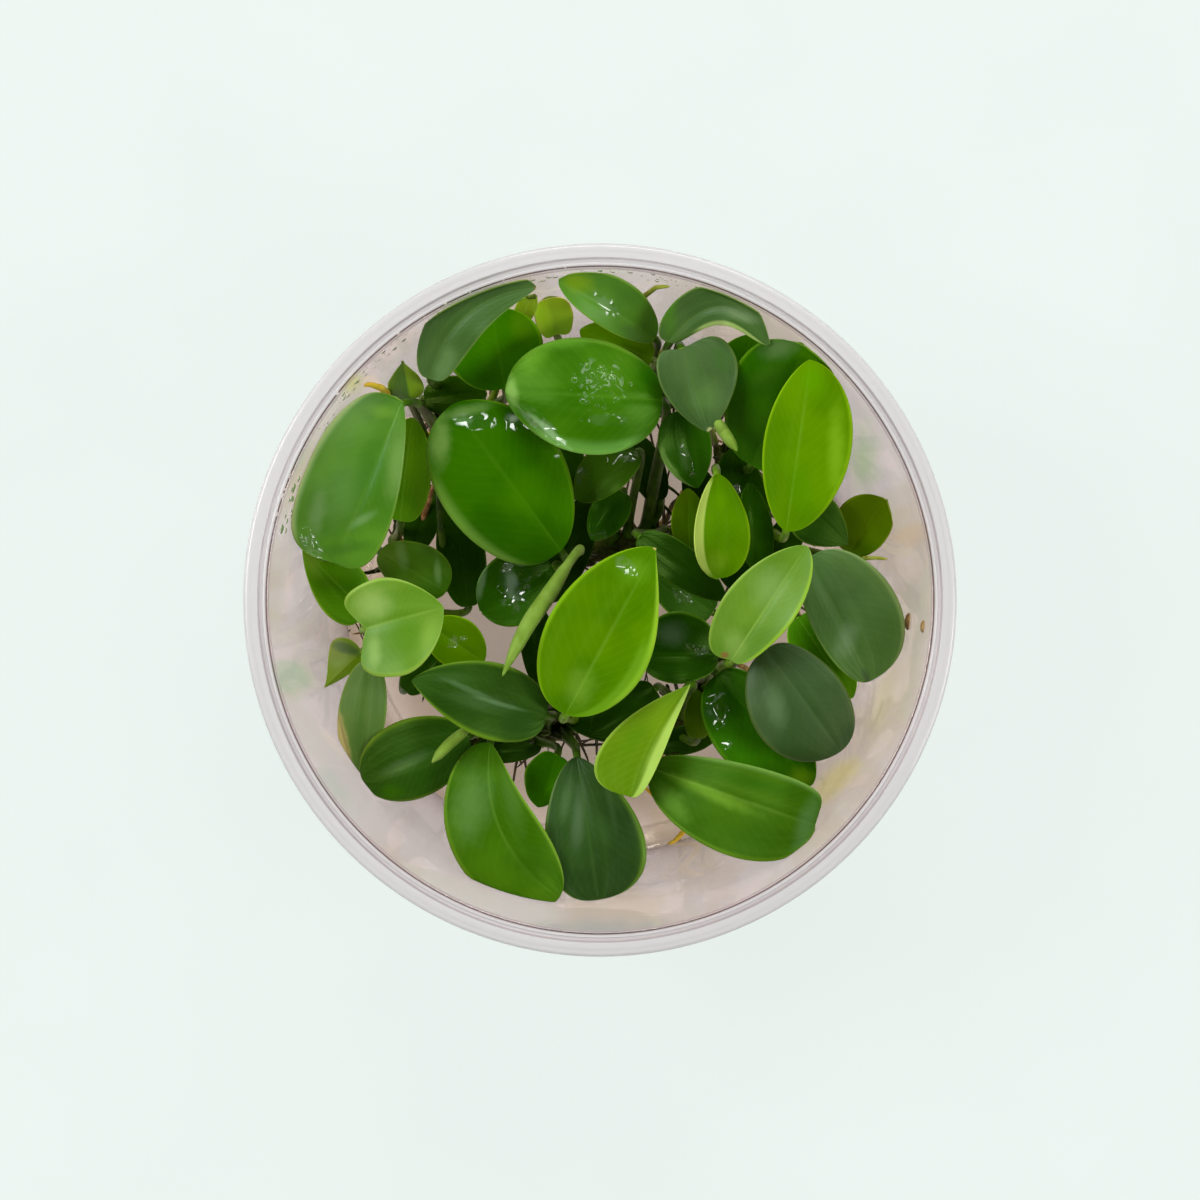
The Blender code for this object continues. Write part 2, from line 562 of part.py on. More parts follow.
def ridge_depth(ring, side, normal):
    """How deep the ridge under the midrib is, so that the underside stays below a curled blade."""
    depth = LEAF_THICKNESS
    for middle, edge in ((ring[1], ring[0]), (ring[3], ring[4])):
        share = (middle - ring[2]).dot(side) / (edge - ring[2]).dot(side)
        sag = (edge - ring[2]).dot(normal) * share - (middle - ring[2]).dot(normal)
        depth = max(depth, (sag + LEAST_SKIN) / (1.0 - share))
    return min(depth, DEEPEST_RIDGE)


def stalk_rings(leaf, steps):
    """The rings of the stalk from the rhizome to the blade, and their tapering radius."""
    curve = midrib(leaf)
    base = Vector(leaf.base)
    forward = direction(curve, 0.0)
    start, away = stalk_start(leaf.rhizome, leaf.along, base)
    reach = (base - start).length
    lean = Vector((*leaf.lean, 0.0))
    points = (start, start + away * reach * 0.35 + lean, base - forward * 2.5 - UP * 3.0 + lean, base)
    side = UP.cross(forward).normalized()
    rings = []
    for index in range(steps, -1, -1):
        place = index / steps
        centre = bezier(points, place)
        along = direction(lambda where: bezier(points, where), place)
        if index == steps:
            along = forward
        side = (side - along * side.dot(along)).normalized()
        normal = along.cross(side)
        radius = leaf.stalk + (STALK_RADIUS_AT_BLADE - leaf.stalk) * place
        drop = normal * (0.35 * radius if index == steps else 0.0)
        ring = []
        for angle in RING_ANGLES:
            offset = normal * math.sin(angle) - side * math.cos(angle)
            ring.append(inside_cup(centre - drop + offset * radius))
        rings.append(ring)
    return list(reversed(rings))


def make_leaf(leaf):
    """A leaf: stalk and blade in one closed skin."""
    length = (Vector(leaf.tip) - Vector(leaf.base)).length
    small = length < SMALL_LEAF
    places = (0.08, 0.25, 0.5, 0.75, 0.93) if small else (0.05, 0.16, 0.32, 0.5, 0.68, 0.84, 0.95)
    rings = stalk_rings(leaf, 3)
    rings += [blade_ring(leaf, place) for place in places]
    mesh_builder = bmesh.new()
    add_rings(mesh_builder, rings, last_point=inside_cup(Vector(leaf.tip)))
    add_object(leaf.name, mesh_builder, leaf.tone)


def make_furled(furled):
    """A furled leaf: a stalk that swells into a pointed spear."""
    route = [Vector(point) for point in furled.route]
    start, away = stalk_start(furled.rhizome, furled.along, route[0])
    lift = (route[0] - start).length * 0.35
    points = [start, start + away * lift, *route]
    radii = [0.8, 0.7, 0.65, 0.62, 0.6, 0.7, 1.0, 0.95, 0.6]
    swell = [radius * furled.radius for radius in radii]
    mesh_builder = bmesh.new()
    tube(mesh_builder, lambda place: through(points, place), swell, 6, len(swell))
    add_object(furled.name, mesh_builder, "lime")


def main():
    """Builds the cup, the gel and the plants."""
    clear_scene()
    make_cup()
    gel = make_gel()
    make_rhizomes(gel)
    for leaf in LEAVES:
        make_leaf(leaf)
    for furled in FURLED:
        make_furled(furled)


main()
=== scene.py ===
"""Looks of a round clear cup of anubias plantlets on clear gel, seen from straight above.

Lengths in the tables and fields are millimetres. They become metres where a mesh is made.
Colours are written as screen bytes and become linear values where a shader takes them.
"""

import json
import logging
import math
import random
from dataclasses import dataclass, field
from enum import Enum
from typing import Callable

import bpy  # noqa: E402
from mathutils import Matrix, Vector, noise  # noqa: E402


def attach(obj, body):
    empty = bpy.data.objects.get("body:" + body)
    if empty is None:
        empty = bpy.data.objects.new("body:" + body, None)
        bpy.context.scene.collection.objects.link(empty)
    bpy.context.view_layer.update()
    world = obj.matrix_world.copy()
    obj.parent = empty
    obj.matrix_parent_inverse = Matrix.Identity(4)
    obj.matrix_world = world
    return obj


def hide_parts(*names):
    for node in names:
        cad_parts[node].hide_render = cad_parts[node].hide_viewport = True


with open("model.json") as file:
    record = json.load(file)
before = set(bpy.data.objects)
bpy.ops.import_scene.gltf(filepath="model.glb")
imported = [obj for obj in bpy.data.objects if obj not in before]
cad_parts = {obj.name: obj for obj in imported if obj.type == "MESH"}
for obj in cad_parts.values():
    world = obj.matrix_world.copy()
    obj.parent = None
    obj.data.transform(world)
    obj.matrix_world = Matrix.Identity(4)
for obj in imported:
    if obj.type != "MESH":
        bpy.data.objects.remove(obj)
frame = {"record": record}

LOG = logging.getLogger("anubias")
MM = 0.001
UP = Vector((0.0, 0.0, 1.0))
BODY = "root"

# The picture from straight above is 1200 pixels wide. The eye is EYE millimetres up, and a
# millimetre at a height takes SHARP / (EYE - height) pixels.
PICTURE_MIDDLE = 600.0
EYE = 662.0
SHARP = 4290.0

# Radians of a wave that goes once, twice or three times round a stem.
ONCE_ROUND = 6.283
TWICE_ROUND = 12.566
THRICE_ROUND = 18.85

Surface = Callable[[float, float], Vector]
Curve = Callable[[float], Vector]
Half = tuple[float, float, float, float]
Place = tuple[float, float, float]
Span = tuple[float, float]
Colour = tuple[int, int, int]
Socket = bpy.types.NodeSocket
Piece = bpy.types.Object
Material = bpy.types.Material


def linear(colour: Colour) -> tuple[float, float, float, float]:
    """The linear shader value of a colour in screen bytes.

    Args:
        colour: red, green and blue, 0 to 255.

    Returns:
        Red, green, blue and an alpha of 1.
    """
    shares = [value / 255.0 for value in colour]
    return (*[s / 12.92 if s <= 0.04045 else ((s + 0.055) / 1.055) ** 2.4 for s in shares], 1.0)


class Sheet:
    """The node tree of one material, with short ways to add and join its nodes."""

    def __init__(self, name: str) -> None:
        """Makes an empty material.

        Args:
            name: its name.
        """
        self.material = bpy.data.materials.new(name)
        self.material.use_nodes = True
        self.tree = self.material.node_tree
        self.tree.nodes.clear()
        self.output = self.tree.nodes.new("ShaderNodeOutputMaterial")

    def add(self, kind: str, inputs: dict | None = None, **settings: object) -> bpy.types.Node:
        """Adds a node.

        Args:
            kind: the node's type without its ShaderNode prefix.
            inputs: input name or number to a value, or to the socket that feeds it.
            settings: the node's own properties.

        Returns:
            The new node.
        """
        made = self.tree.nodes.new("ShaderNode" + kind)
        for name, value in settings.items():
            setattr(made, name, value)
        for name, value in (inputs or {}).items():
            if isinstance(value, Socket):
                self.tree.links.new(value, made.inputs[name])
            else:
                made.inputs[name].default_value = value
        return made

    def maths(self, operation: str, first: object, second: object = 0.0) -> Socket:
        """The result of a Math node.

        Args:
            operation: its operation, such as MAXIMUM.
            first: its first value or socket.
            second: its second value or socket.

        Returns:
            The output socket.
        """
        return self.add("Math", {0: first, 1: second}, operation=operation).outputs[0]

    def times(self, first: object, second: object) -> Socket:
        """The product of two values or sockets."""
        return self.maths("MULTIPLY", first, second)

    def plus(self, first: object, second: object) -> Socket:
        """The sum of two values or sockets."""
        return self.maths("ADD", first, second)

    def own_place(self) -> Socket:
        """The point's place on the piece."""
        return self.add("TexCoord").outputs["Object"]

    def length(self, vector: Socket) -> Socket:
        """The length of a vector."""
        return self.add("VectorMath", {0: vector}, operation="LENGTH").outputs["Value"]

    def ramp(self, value: object, low: float, high: float, start: float = 0.0,
             end: float = 1.0) -> Socket:
        """A smooth step of a value.

        Args:
            value: the socket that is read.
            low: where the step starts.
            high: where it ends.
            start: the result at low.
            end: the result at high.

        Returns:
            The output socket.
        """
        spans = {"Value": value, "From Min": low, "From Max": high, "To Min": start, "To Max": end}
        return self.add("MapRange", spans, interpolation_type="SMOOTHSTEP").outputs[0]

    def blend(self, share: object, below: object, above: object, mode: str = "MIX") -> Socket:
        """A mix of two colours.

        Args:
            share: how much of the upper colour shows, a value or a socket.
            below: the lower colour or its socket.
            above: the upper colour or its socket.
            mode: the blend mode.

        Returns:
            The output socket.
        """
        made = self.add("Mix", {0: share, 6: below, 7: above}, data_type="RGBA", blend_type=mode)
        return made.outputs[2]

    def clouds(self, scale: float, detail: float = 2.0, where: Socket | None = None) -> Socket:
        """Noise on the piece's own place.

        Args:
            scale: features per metre.
            detail: octaves of finer noise.
            where: a vector socket to use in place of the piece's own place.

        Returns:
            The noise value's socket.
        """
        inputs = {"Vector": where or self.own_place(), "Scale": scale, "Detail": detail}
        return self.add("TexNoise", inputs).outputs[0]

    def bump(self, height: Socket, distance: float, strength: float = 1.0,
             under: Socket | None = None) -> Socket:
        """A bump of the surface.

        Args:
            height: the height's socket.
            distance: the bump's depth in metres.
            strength: its share.
            under: the normal of a coarser bump.

        Returns:
            The normal's socket.
        """
        inputs = {"Height": height, "Distance": distance, "Strength": strength}
        if under is not None:
            inputs["Normal"] = under
        return self.add("Bump", inputs).outputs[0]

    def surface(self, inputs: dict) -> Socket:
        """A Principled shader with these inputs."""
        return self.add("BsdfPrincipled", inputs).outputs[0]

    def finish(self, shader: Socket, volume: Socket | None = None) -> Material:
        """Joins the last shader to the output.

        Args:
            shader: the surface shader's socket.
            volume: the volume shader's socket.

        Returns:
            The material.
        """
        self.tree.links.new(shader, self.output.inputs["Surface"])
        if volume is not None:
            self.tree.links.new(volume, self.output.inputs["Volume"])
        return self.material


@dataclass(frozen=True)
class LeafFinish:
    """How one kind of leaf blade looks.

    body and shade are the two greens that mingle over the blade, margin is its edge and rib its
    midrib. veil is the colour of its waxy gloss, shine the gloss's strength and streak the depth
    in metres of the soft ridges that run along the blade, which also sets how strongly a paler
    painted sheen follows them.
    """

    body: Colour
    shade: Colour
    margin: Colour
    rib: Colour
    veil: Colour
    roughness: float
    shine: float
    streak: float

    def lit(self, light: float) -> "LeafFinish":
        """The same finish, made lighter or darker.

        Args:
            light: the factor on its four greens, which partly paints light on a leaf in shade,
                where it is above one, and shade, where it is below one.

        Returns:
            The new finish.
        """
        colours = [tuple(min(255, round(value * light)) for value in colour)
                   for colour in (self.body, self.shade, self.margin, self.rib)]
        return LeafFinish(*colours, self.veil, self.roughness, self.shine, self.streak)


WAXY = (200, 226, 200)
SAPPY = (150, 205, 90)
GREENISH = (110, 190, 0)
STALK_GLOSS = (170, 200, 110)
PALE_EDGE = (170, 196, 92)
# WHITISH is a painted highlight along a leaf's margin.
WHITISH = (186, 208, 150)
BROWN = (120, 92, 40)


class Tone(Enum):
    """The leaf finishes of these plants, from the young leaves on top to the old ones below."""

    PALE = LeafFinish(
        (94, 134, 30), (78, 120, 12), (140, 172, 62), (146, 180, 84), WAXY, 0.42, 0.45, 0.00003)
    GOLDEN = LeafFinish(
        (108, 142, 20), (88, 128, 4), (150, 182, 70), (150, 182, 80), WAXY, 0.4, 0.4, 0.00003)
    LIME = LeafFinish(
        (84, 128, 0), (68, 112, 0), (130, 170, 20), (120, 164, 50), GREENISH, 0.36, 0.3, 0.00003)
    FRESH = LeafFinish(
        (74, 116, 0), (58, 102, 0), (124, 166, 24), (108, 152, 46), GREENISH, 0.34, 0.35, 0.00004)
    BRIGHT = LeafFinish(
        (74, 124, 22), (54, 102, 6), (112, 150, 40), (98, 142, 48), WAXY, 0.42, 0.4, 0.00005)
    CANOPY = LeafFinish(
        (56, 104, 6), (40, 88, 0), (100, 142, 40), (84, 132, 34), SAPPY, 0.3, 0.35, 0.00006)
    GRASS = LeafFinish(
        (42, 90, 0), (30, 76, 0), (84, 124, 14), (62, 108, 14), GREENISH, 0.34, 0.3, 0.00005)
    MEADOW = LeafFinish(
        (58, 100, 6), (42, 84, 0), (100, 138, 30), (92, 130, 40), SAPPY, 0.38, 0.35, 0.00006)
    # PAINTED_SHEEN's grey-green greens paint the bluish sheen of waxy leaves into their colour.
    PAINTED_SHEEN = LeafFinish(
        (62, 94, 32), (46, 80, 16), (100, 130, 46), (82, 114, 48), WAXY, 0.48, 0.6, 0.0001)
    FOREST = LeafFinish(
        (38, 72, 14), (24, 56, 2), (86, 116, 28), (56, 92, 28), WAXY, 0.4, 0.42, 0.00014)
    MOSS = LeafFinish(
        (42, 76, 18), (28, 60, 6), (86, 116, 30), (58, 92, 30), SAPPY, 0.36, 0.32, 0.00012)
    SPRING = LeafFinish(
        (96, 130, 12), (78, 114, 4), (150, 182, 70), (140, 172, 66), SAPPY, 0.38, 0.35, 0.00004)
    OLIVE = LeafFinish(
        (62, 90, 2), (44, 72, 0), (92, 112, 14), (80, 108, 18), GREENISH, 0.36, 0.3, 0.00005)
    DEEP = LeafFinish(
        (34, 76, 2), (22, 58, 0), (66, 104, 14), (48, 90, 12), SAPPY, 0.28, 0.3, 0.00008)
    # BLACK's near-black greens partly paint the shade deep in the canopy.
    BLACK = LeafFinish(
        (26, 58, 2), (14, 42, 0), (56, 88, 12), (38, 74, 10), SAPPY, 0.3, 0.3, 0.00008)


@dataclass(frozen=True)
class Patch:
    """An oval of another look on a blade or a wall, such as a painted sheen, highlight, reflection
    or shade, a pale rim, a brown tip or a wet spot.

    at is its middle and size its half axes in pixels of the picture from straight above. turn is
    the angle of its first axis, anticlockwise from the right. Without a colour it is a film of
    water. share is how much of it shows, soft how wide its outline fades and ragged how uneven
    the outline is. edge is the outline's place in half axes, and depth its reach up and down in
    metres, so that it marks the piece at any height.
    """

    at: tuple[float, float]
    size: tuple[float, float]
    turn: float = 0.0
    colour: Colour | None = None
    share: float = 0.6
    soft: float = 0.7
    ragged: float = 0.3
    edge: float = 1.1
    depth: float = 10.0

    def covers(self, sheet: Sheet, height: float, fine: Socket) -> Socket:
        """How much of the patch shows at each point of a piece.

        Args:
            sheet: the piece's node tree.
            height: the piece's mean height in millimetres.
            fine: the noise that makes the patch's outline uneven.

        Returns:
            The share's socket.
        """
        pixel = (EYE - height) / SHARP * MM
        right, up = self.at[0] - PICTURE_MIDDLE, PICTURE_MIDDLE - self.at[1]
        inputs = {
            "Vector": sheet.own_place(),
            "Location": (right * pixel, up * pixel, 0.0),
            "Rotation": (0.0, 0.0, math.radians(self.turn)),
            "Scale": (self.size[0] * pixel, self.size[1] * pixel, self.depth),
        }
        local = sheet.add("Mapping", inputs, vector_type="TEXTURE").outputs[0]
        uneven = sheet.plus(sheet.length(local), sheet.times(fine, 2.0 * self.ragged))
        edge = self.edge + self.ragged
        return sheet.ramp(uneven, edge - self.soft, edge, self.share, 0.0)


def wet(at: tuple[float, float], size: tuple[float, float], turn: float = 0.0,
        share: float = 1.0, ragged: float = 0.4) -> Patch:
    """A wet spot.

    Args:
        at: its middle in pixels of the picture.
        size: its half axes in pixels.
        turn: the angle of its first axis in degrees.
        share: how thick the film of water is, 0 to 1.
        ragged: how uneven its outline is.

    Returns:
        The patch.
    """
    return Patch(at, size, turn, None, share, 0.5, ragged)


@dataclass(frozen=True)
class Band:
    """A strip along one margin of a blade, which may be paler and may curl up; the paler colour is
    partly the leaf's own and partly a painted sheen on the turned edge.

    side is -1 for the left margin and 1 for the right one. start is where the strip begins, as a
    share of the half blade, and first and last are its ends along the blade. curl is the angle in
    degrees that the margin has turned by at its edge.
    """

    side: int
    start: float
    colour: Colour = PALE_EDGE
    share: float = 0.8
    first: float = 0.0
    last: float = 1.0
    curl: float = 0.0
    soft: float = 0.08
    steepness: float = 6.0
    fade_out: float = 0.08
    fade_in: float = 0.04

    def turned(self, far: float, place: float) -> tuple[float, float]:
        """Where a point of the strip goes.

        Args:
            far: its distance from the midrib as a share of the half blade.
            place: its share of the blade's length.

        Returns:
            Shares of the half blade: outward and up.
        """
        ends = min((place - self.first) * self.steepness, (self.last - place) * self.steepness)
        angle = math.radians(self.curl) * max(0.0, min(1.0, ends)) ** 0.7
        if far <= self.start or angle < 0.01:
            return far, 0.0
        share = (far - self.start) / (1.0 - self.start)
        reach = (1.0 - self.start) / math.sin(angle)
        return self.start + reach * math.sin(angle * share), reach * (1.0 - math.cos(angle * share))

    def covers(self, sheet: Sheet, sideways: Socket, place: Socket) -> Socket:
        """How much of the band shows at each point of a blade.

        Args:
            sheet: the blade's node tree.
            sideways: 1 at the left edge to -1 at the right one.
            place: the share of the blade's length.

        Returns:
            The share's socket.
        """
        outward = sheet.times(sideways, float(-self.side))
        strip = sheet.ramp(outward, self.start - self.soft, self.start + self.soft, 0.0, self.share)
        opens = sheet.ramp(place, self.first - self.fade_out, self.first + self.fade_in)
        closes = sheet.ramp(place, self.last - self.fade_in, self.last + self.fade_out, 1.0, 0.0)
        return sheet.times(sheet.times(strip, opens), closes)


@dataclass(frozen=True)
class BladeSkin:
    """The fine detail that all blades share: clouds, ridges, side veins, midrib and water.

    Scales are features per metre, depths are metres, and the rest are shares of one. The blade is
    read from its own map: U runs to the tip and V across. painted_ridge_sheen turns a ridge's depth
    into the share of a paler painted sheen along it.
    """

    broad_scale: float = 95.0
    broad_step: Span = (0.36, 0.66)
    fine_scale: float = 620.0
    ridge_stretch: Place = (1.3, 9.0, 1.0)
    ridge_step: Span = (0.45, 0.7)
    painted_ridge_sheen: float = 1500.0
    vein_slant: float = 0.34
    vein_wander: float = 0.12
    vein_spacing: float = 90.0
    vein_step: Span = (0.5, 1.0)
    vein_share: float = 0.04
    vein_depth: float = 0.000003
    speckle: float = 0.08
    speckle_depth: float = 0.00004
    fine_strength: float = 0.5
    margin_step: Span = (0.92, 1.02)
    margin_uneven: float = 0.05
    margin_share: float = 0.7
    midrib_width: float = 0.06
    midrib_at_tip: float = 0.3
    dullness_drop: float = 0.06
    dullness_spread: float = 0.14
    film_roughness: float = 0.05
    film_ior: float = 1.85
    ripple_scale: float = 130.0
    ripple_depth: float = 0.008

    def material(self, name: str, finish: LeafFinish, marks: tuple[Patch | Band, ...], rib: float,
                 height: float) -> Material:
        """The upper side of one leaf blade.

        Args:
            name: the material's name.
            finish: the leaf's greens and gloss.
            marks: its patches and bands.
            rib: how clearly the midrib shows, 0 to 1.
            height: the blade's mean height in millimetres.

        Returns:
            The material.
        """
        sheet = Sheet(name)
        flat = sheet.add("UVMap", uv_map="UVMap").outputs[0]
        parts = sheet.add("SeparateXYZ", {0: flat}).outputs
        along, sideways = parts[0], sheet.maths("SUBTRACT", sheet.times(parts[1], 2.0), 1.0)
        half_wave = sheet.times(sheet.maths("COSINE", sheet.times(along, math.pi)), 0.5)
        place = sheet.maths("SUBTRACT", 0.5, half_wave)
        off_rib = sheet.maths("ABSOLUTE", sideways)
        broad = sheet.clouds(self.broad_scale)
        fine = sheet.clouds(self.fine_scale, 3.0)
        stretch = {"Vector": flat, "Scale": self.ridge_stretch}
        ridges = sheet.clouds(1.0, 2.0, sheet.add("Mapping", stretch).outputs[0])

        swept = sheet.maths("SUBTRACT", place, sheet.times(off_rib, self.vein_slant))
        wander = sheet.plus(swept, sheet.times(broad, self.vein_wander))
        veins = sheet.maths("SINE", sheet.times(wander, self.vein_spacing))
        thread = sheet.ramp(veins, *self.vein_step)

        body, margin, midrib = linear(finish.body), linear(finish.margin), linear(finish.rib)
        colour = sheet.blend(sheet.ramp(broad, *self.broad_step), linear(finish.shade), body)
        # Painted sheen: each soft ridge is drawn paler, in the midrib's colour.
        ridge_sheen = sheet.ramp(ridges, *self.ridge_step, 0.0, finish.streak * self.painted_ridge_sheen)
        colour = sheet.blend(ridge_sheen, colour, midrib)
        colour = sheet.blend(sheet.times(thread, self.vein_share), colour, margin)
        colour = sheet.blend(sheet.times(fine, self.speckle), colour, body, "SCREEN")
        uneven = sheet.plus(off_rib, sheet.times(broad, self.margin_uneven))
        edge = sheet.ramp(uneven, *self.margin_step)
        colour = sheet.blend(sheet.times(edge, self.margin_share), colour, margin)
        fading = sheet.ramp(along, 0.0, 1.0, rib, rib * self.midrib_at_tip)
        spine = sheet.times(sheet.ramp(off_rib, 0.0, self.midrib_width, 1.0, 0.0), fading)
        colour = sheet.blend(spine, colour, midrib)
        film = None
        for mark in marks:
            banded = isinstance(mark, Band)
            spot = (mark.covers(sheet, sideways, place) if banded
                    else mark.covers(sheet, height, fine))
            if mark.colour is not None:
                colour = sheet.blend(spot, colour, linear(mark.colour))
            else:
                film = spot if film is None else sheet.maths("MAXIMUM", film, spot)

        relief = sheet.bump(ridges, finish.streak)
        relief = sheet.bump(veins, self.vein_depth, self.fine_strength, relief)
        inputs = {
            "Base Color": colour,
            "Roughness": sheet.plus(finish.roughness - self.dullness_drop,
                                    sheet.times(fine, self.dullness_spread)),
            "Specular IOR Level": finish.shine,
            "Specular Tint": linear(finish.veil),
            "Normal": sheet.bump(fine, self.speckle_depth, self.fine_strength, relief),
        }
        if film is not None:
            inputs |= {
                "Coat Weight": film,
                "Coat Roughness": self.film_roughness,
                "Coat IOR": self.film_ior,
                "Coat Normal": sheet.bump(sheet.clouds(self.ripple_scale), self.ripple_depth),
            }
        return sheet.finish(sheet.surface(inputs))


@dataclass(frozen=True)
class SkinFinish:
    """A matt or waxy plant skin with two mingled colours, for stalks, undersides and roots."""

    body: Colour
    shade: Colour
    roughness: float
    grain: float
    depth: float
    dullness_spread: float = 0.16
    shine: float = 0.3
    cloud_step: Span = (0.38, 0.62)

    def material(self, name: str) -> Material:
        """The finish as a material.

        Args:
            name: the material's name.

        Returns:
            The material.
        """
        sheet = Sheet(name)
        cloud = sheet.clouds(self.grain, 3.0)
        least = self.roughness - self.dullness_spread / 2.0
        share = sheet.ramp(cloud, *self.cloud_step)
        inputs = {
            "Base Color": sheet.blend(share, linear(self.shade), linear(self.body)),
            "Roughness": sheet.plus(least, sheet.times(cloud, self.dullness_spread)),
            "Normal": sheet.bump(cloud, self.depth),
            "Specular IOR Level": self.shine,
            "Specular Tint": linear(STALK_GLOSS),
        }
        return sheet.finish(sheet.surface(inputs))


UNDERSIDE = SkinFinish((112, 150, 54), (90, 130, 38), 0.5, 420.0, 0.00003)
STALK = SkinFinish((66, 104, 10), (42, 76, 4), 0.4, 300.0, 0.00004)
YOUNG_STALK = SkinFinish((108, 146, 40), (86, 126, 20), 0.4, 300.0, 0.00003)
OLD_STALK = SkinFinish((44, 62, 12), (24, 36, 6), 0.5, 500.0, 0.00008)
STEM = SkinFinish((52, 66, 16), (30, 36, 10), 0.6, 900.0, 0.00015)
PALE_ROOT = SkinFinish((150, 142, 72), (112, 104, 44), 0.5, 800.0, 0.00008)
DARK_ROOT = SkinFinish((62, 58, 26), (34, 34, 14), 0.6, 800.0, 0.00008)
TAN_ROOT = SkinFinish((170, 140, 92), (124, 96, 58), 0.55, 800.0, 0.00008)
YELLOW_ROOT = SkinFinish((226, 206, 70), (202, 178, 48), 0.5, 800.0, 0.00006)
GREEN_ROOT = SkinFinish((168, 182, 78), (140, 156, 46), 0.5, 800.0, 0.00006)
SPEAR = SkinFinish((116, 146, 58), (100, 130, 42), 0.42, 300.0, 0.00002)


@dataclass(frozen=True)
class ClearFinish:
    """A clear solid: its tint, how smooth it is, how strongly it bends light and how milky it is.

    clear is the share of light that passes at the skin, the rest scatters in tint. streaks is the
    tint of the faint upright streaks on a wall, and stains_and_reflections are soft patches on it,
    at wall_height: painted reflections of the leaves and roots that mirror in the wall, painted
    shade along the near wall and a few stained spots.
    """

    tint: Colour
    roughness: float
    ior: float
    clear: float = 1.0
    grain: float = 0.0
    absorbs: Colour | None = None
    density: float = 0.0
    streaks: Colour | None = None
    stains_and_reflections: tuple[Patch, ...] = ()
    wall_height: float = 45.0
    upright: float = 0.12
    streak_scale: float = 75.0
    streak_step: Span = (0.42, 0.66)
    wall_mark_scale: float = 300.0
    dullness_scale: float = 26.0
    dullness_step: Span = (0.2, 0.8)
    dullness_spread: float = 0.15
    grain_scale: float = 260.0

    def wall_tint(self, sheet: Sheet) -> Socket:
        """The tint with its upright streaks, its stained spots and its painted reflections and
        shade.

        Args:
            sheet: the wall's node tree.

        Returns:
            The colour's socket.
        """
        stretch = {"Vector": sheet.own_place(), "Scale": (1.0, 1.0, self.upright)}
        upright = sheet.add("Mapping", stretch).outputs[0]
        share = sheet.ramp(sheet.clouds(self.streak_scale, 3.0, upright), *self.streak_step)
        tint = sheet.blend(share, linear(self.tint), linear(self.streaks))
        fine = sheet.clouds(self.wall_mark_scale, 2.0, upright)
        # Painted reflections of the leaves and roots, painted shade and a few stained spots, each
        # an oval on the wall.
        for wall_mark in self.stains_and_reflections:
            share = wall_mark.covers(sheet, self.wall_height, fine)
            tint = sheet.blend(share, tint, linear(wall_mark.colour))
        return tint

    def material(self, name: str) -> Material:
        """The finish as a material, whose shadow lets lamps through.

        Args:
            name: the material's name.

        Returns:
            The material.
        """
        sheet = Sheet(name)
        cloud = sheet.clouds(self.dullness_scale, 1.0)
        least, most = (self.roughness * (1.0 + self.dullness_spread * way) for way in (-1, 1))
        inputs = {
            "Base Color": linear(self.tint) if self.streaks is None else self.wall_tint(sheet),
            "Roughness": sheet.ramp(cloud, *self.dullness_step, least, most),
            "IOR": self.ior,
            "Transmission Weight": self.clear,
        }
        if self.grain > 0.0:
            inputs["Normal"] = sheet.bump(sheet.clouds(self.grain_scale), self.grain)
        pass_through = sheet.add("BsdfTransparent", {"Color": linear(self.tint)}).outputs[0]
        paths = sheet.add("LightPath").outputs
        lamp = sheet.maths("MAXIMUM", paths["Is Shadow Ray"], paths["Is Diffuse Ray"])
        mixed = {0: lamp, 1: sheet.surface(inputs), 2: pass_through}
        volume = None
        if self.absorbs is not None:
            soak = {"Color": linear(self.absorbs), "Density": self.density}
            volume = sheet.add("VolumeAbsorption", soak).outputs[0]
        return sheet.finish(sheet.add("MixShader", mixed).outputs[0], volume)


# Ovals on the wall: most are painted reflections of the leaves and roots that mirror in it, the
# long grey band low on the near wall is painted shade, and the tan ones at the right are stained
# spots.
WALL_STAINS_AND_REFLECTIONS = (
    Patch((836, 785), (44, 11), 45, (238, 218, 150), 0.8, 0.9, 0.5),
    Patch((883, 707), (46, 9), 72, (238, 222, 172), 0.7, 0.9, 0.5),
    Patch((355, 385), (16, 12), 45, (240, 226, 120), 0.7, 0.9, 0.5),
    Patch((293, 676), (24, 15), -62, (210, 218, 196), 0.8, 0.6, 0.5),
    Patch((898, 690), (16, 70), -18, (232, 212, 188), 0.7, 0.9, 0.5),
    Patch((866, 455), (14, 46), 8, (206, 222, 176), 0.7, 0.9, 0.6),
    Patch((908, 536), (17, 14), 0, (240, 208, 184), 0.8, 0.7, 0.6),
    Patch((600, 924), (170, 9), 0, (206, 198, 198), 0.9, 0.9, 0.4),
    Patch((340, 786), (40, 8), -52, (224, 228, 216), 0.5, 0.9, 0.5),
    Patch((303, 452), (54, 9), 68, (196, 212, 180), 0.7, 0.9, 0.6),
    Patch((474, 300), (44, 7), 25, (176, 194, 156), 0.7, 0.9, 0.5),
    Patch((912, 612), (12, 110), -6, (214, 200, 188), 0.85, 0.9, 0.6),
)
CLEAR_WALL = ClearFinish((247, 229, 230), 0.05, 1.5, 0.94, streaks=(236, 214, 202),
                         stains_and_reflections=WALL_STAINS_AND_REFLECTIONS)
FROSTED_RIM = ClearFinish((218, 216, 216), 0.22, 1.5, 0.55)
CLEAR_GEL = ClearFinish((249, 244, 240), 0.04, 1.34, 0.97, 0.00006, (226, 218, 170), 30.0)
WATER = ClearFinish((255, 255, 255), 0.0, 1.33)


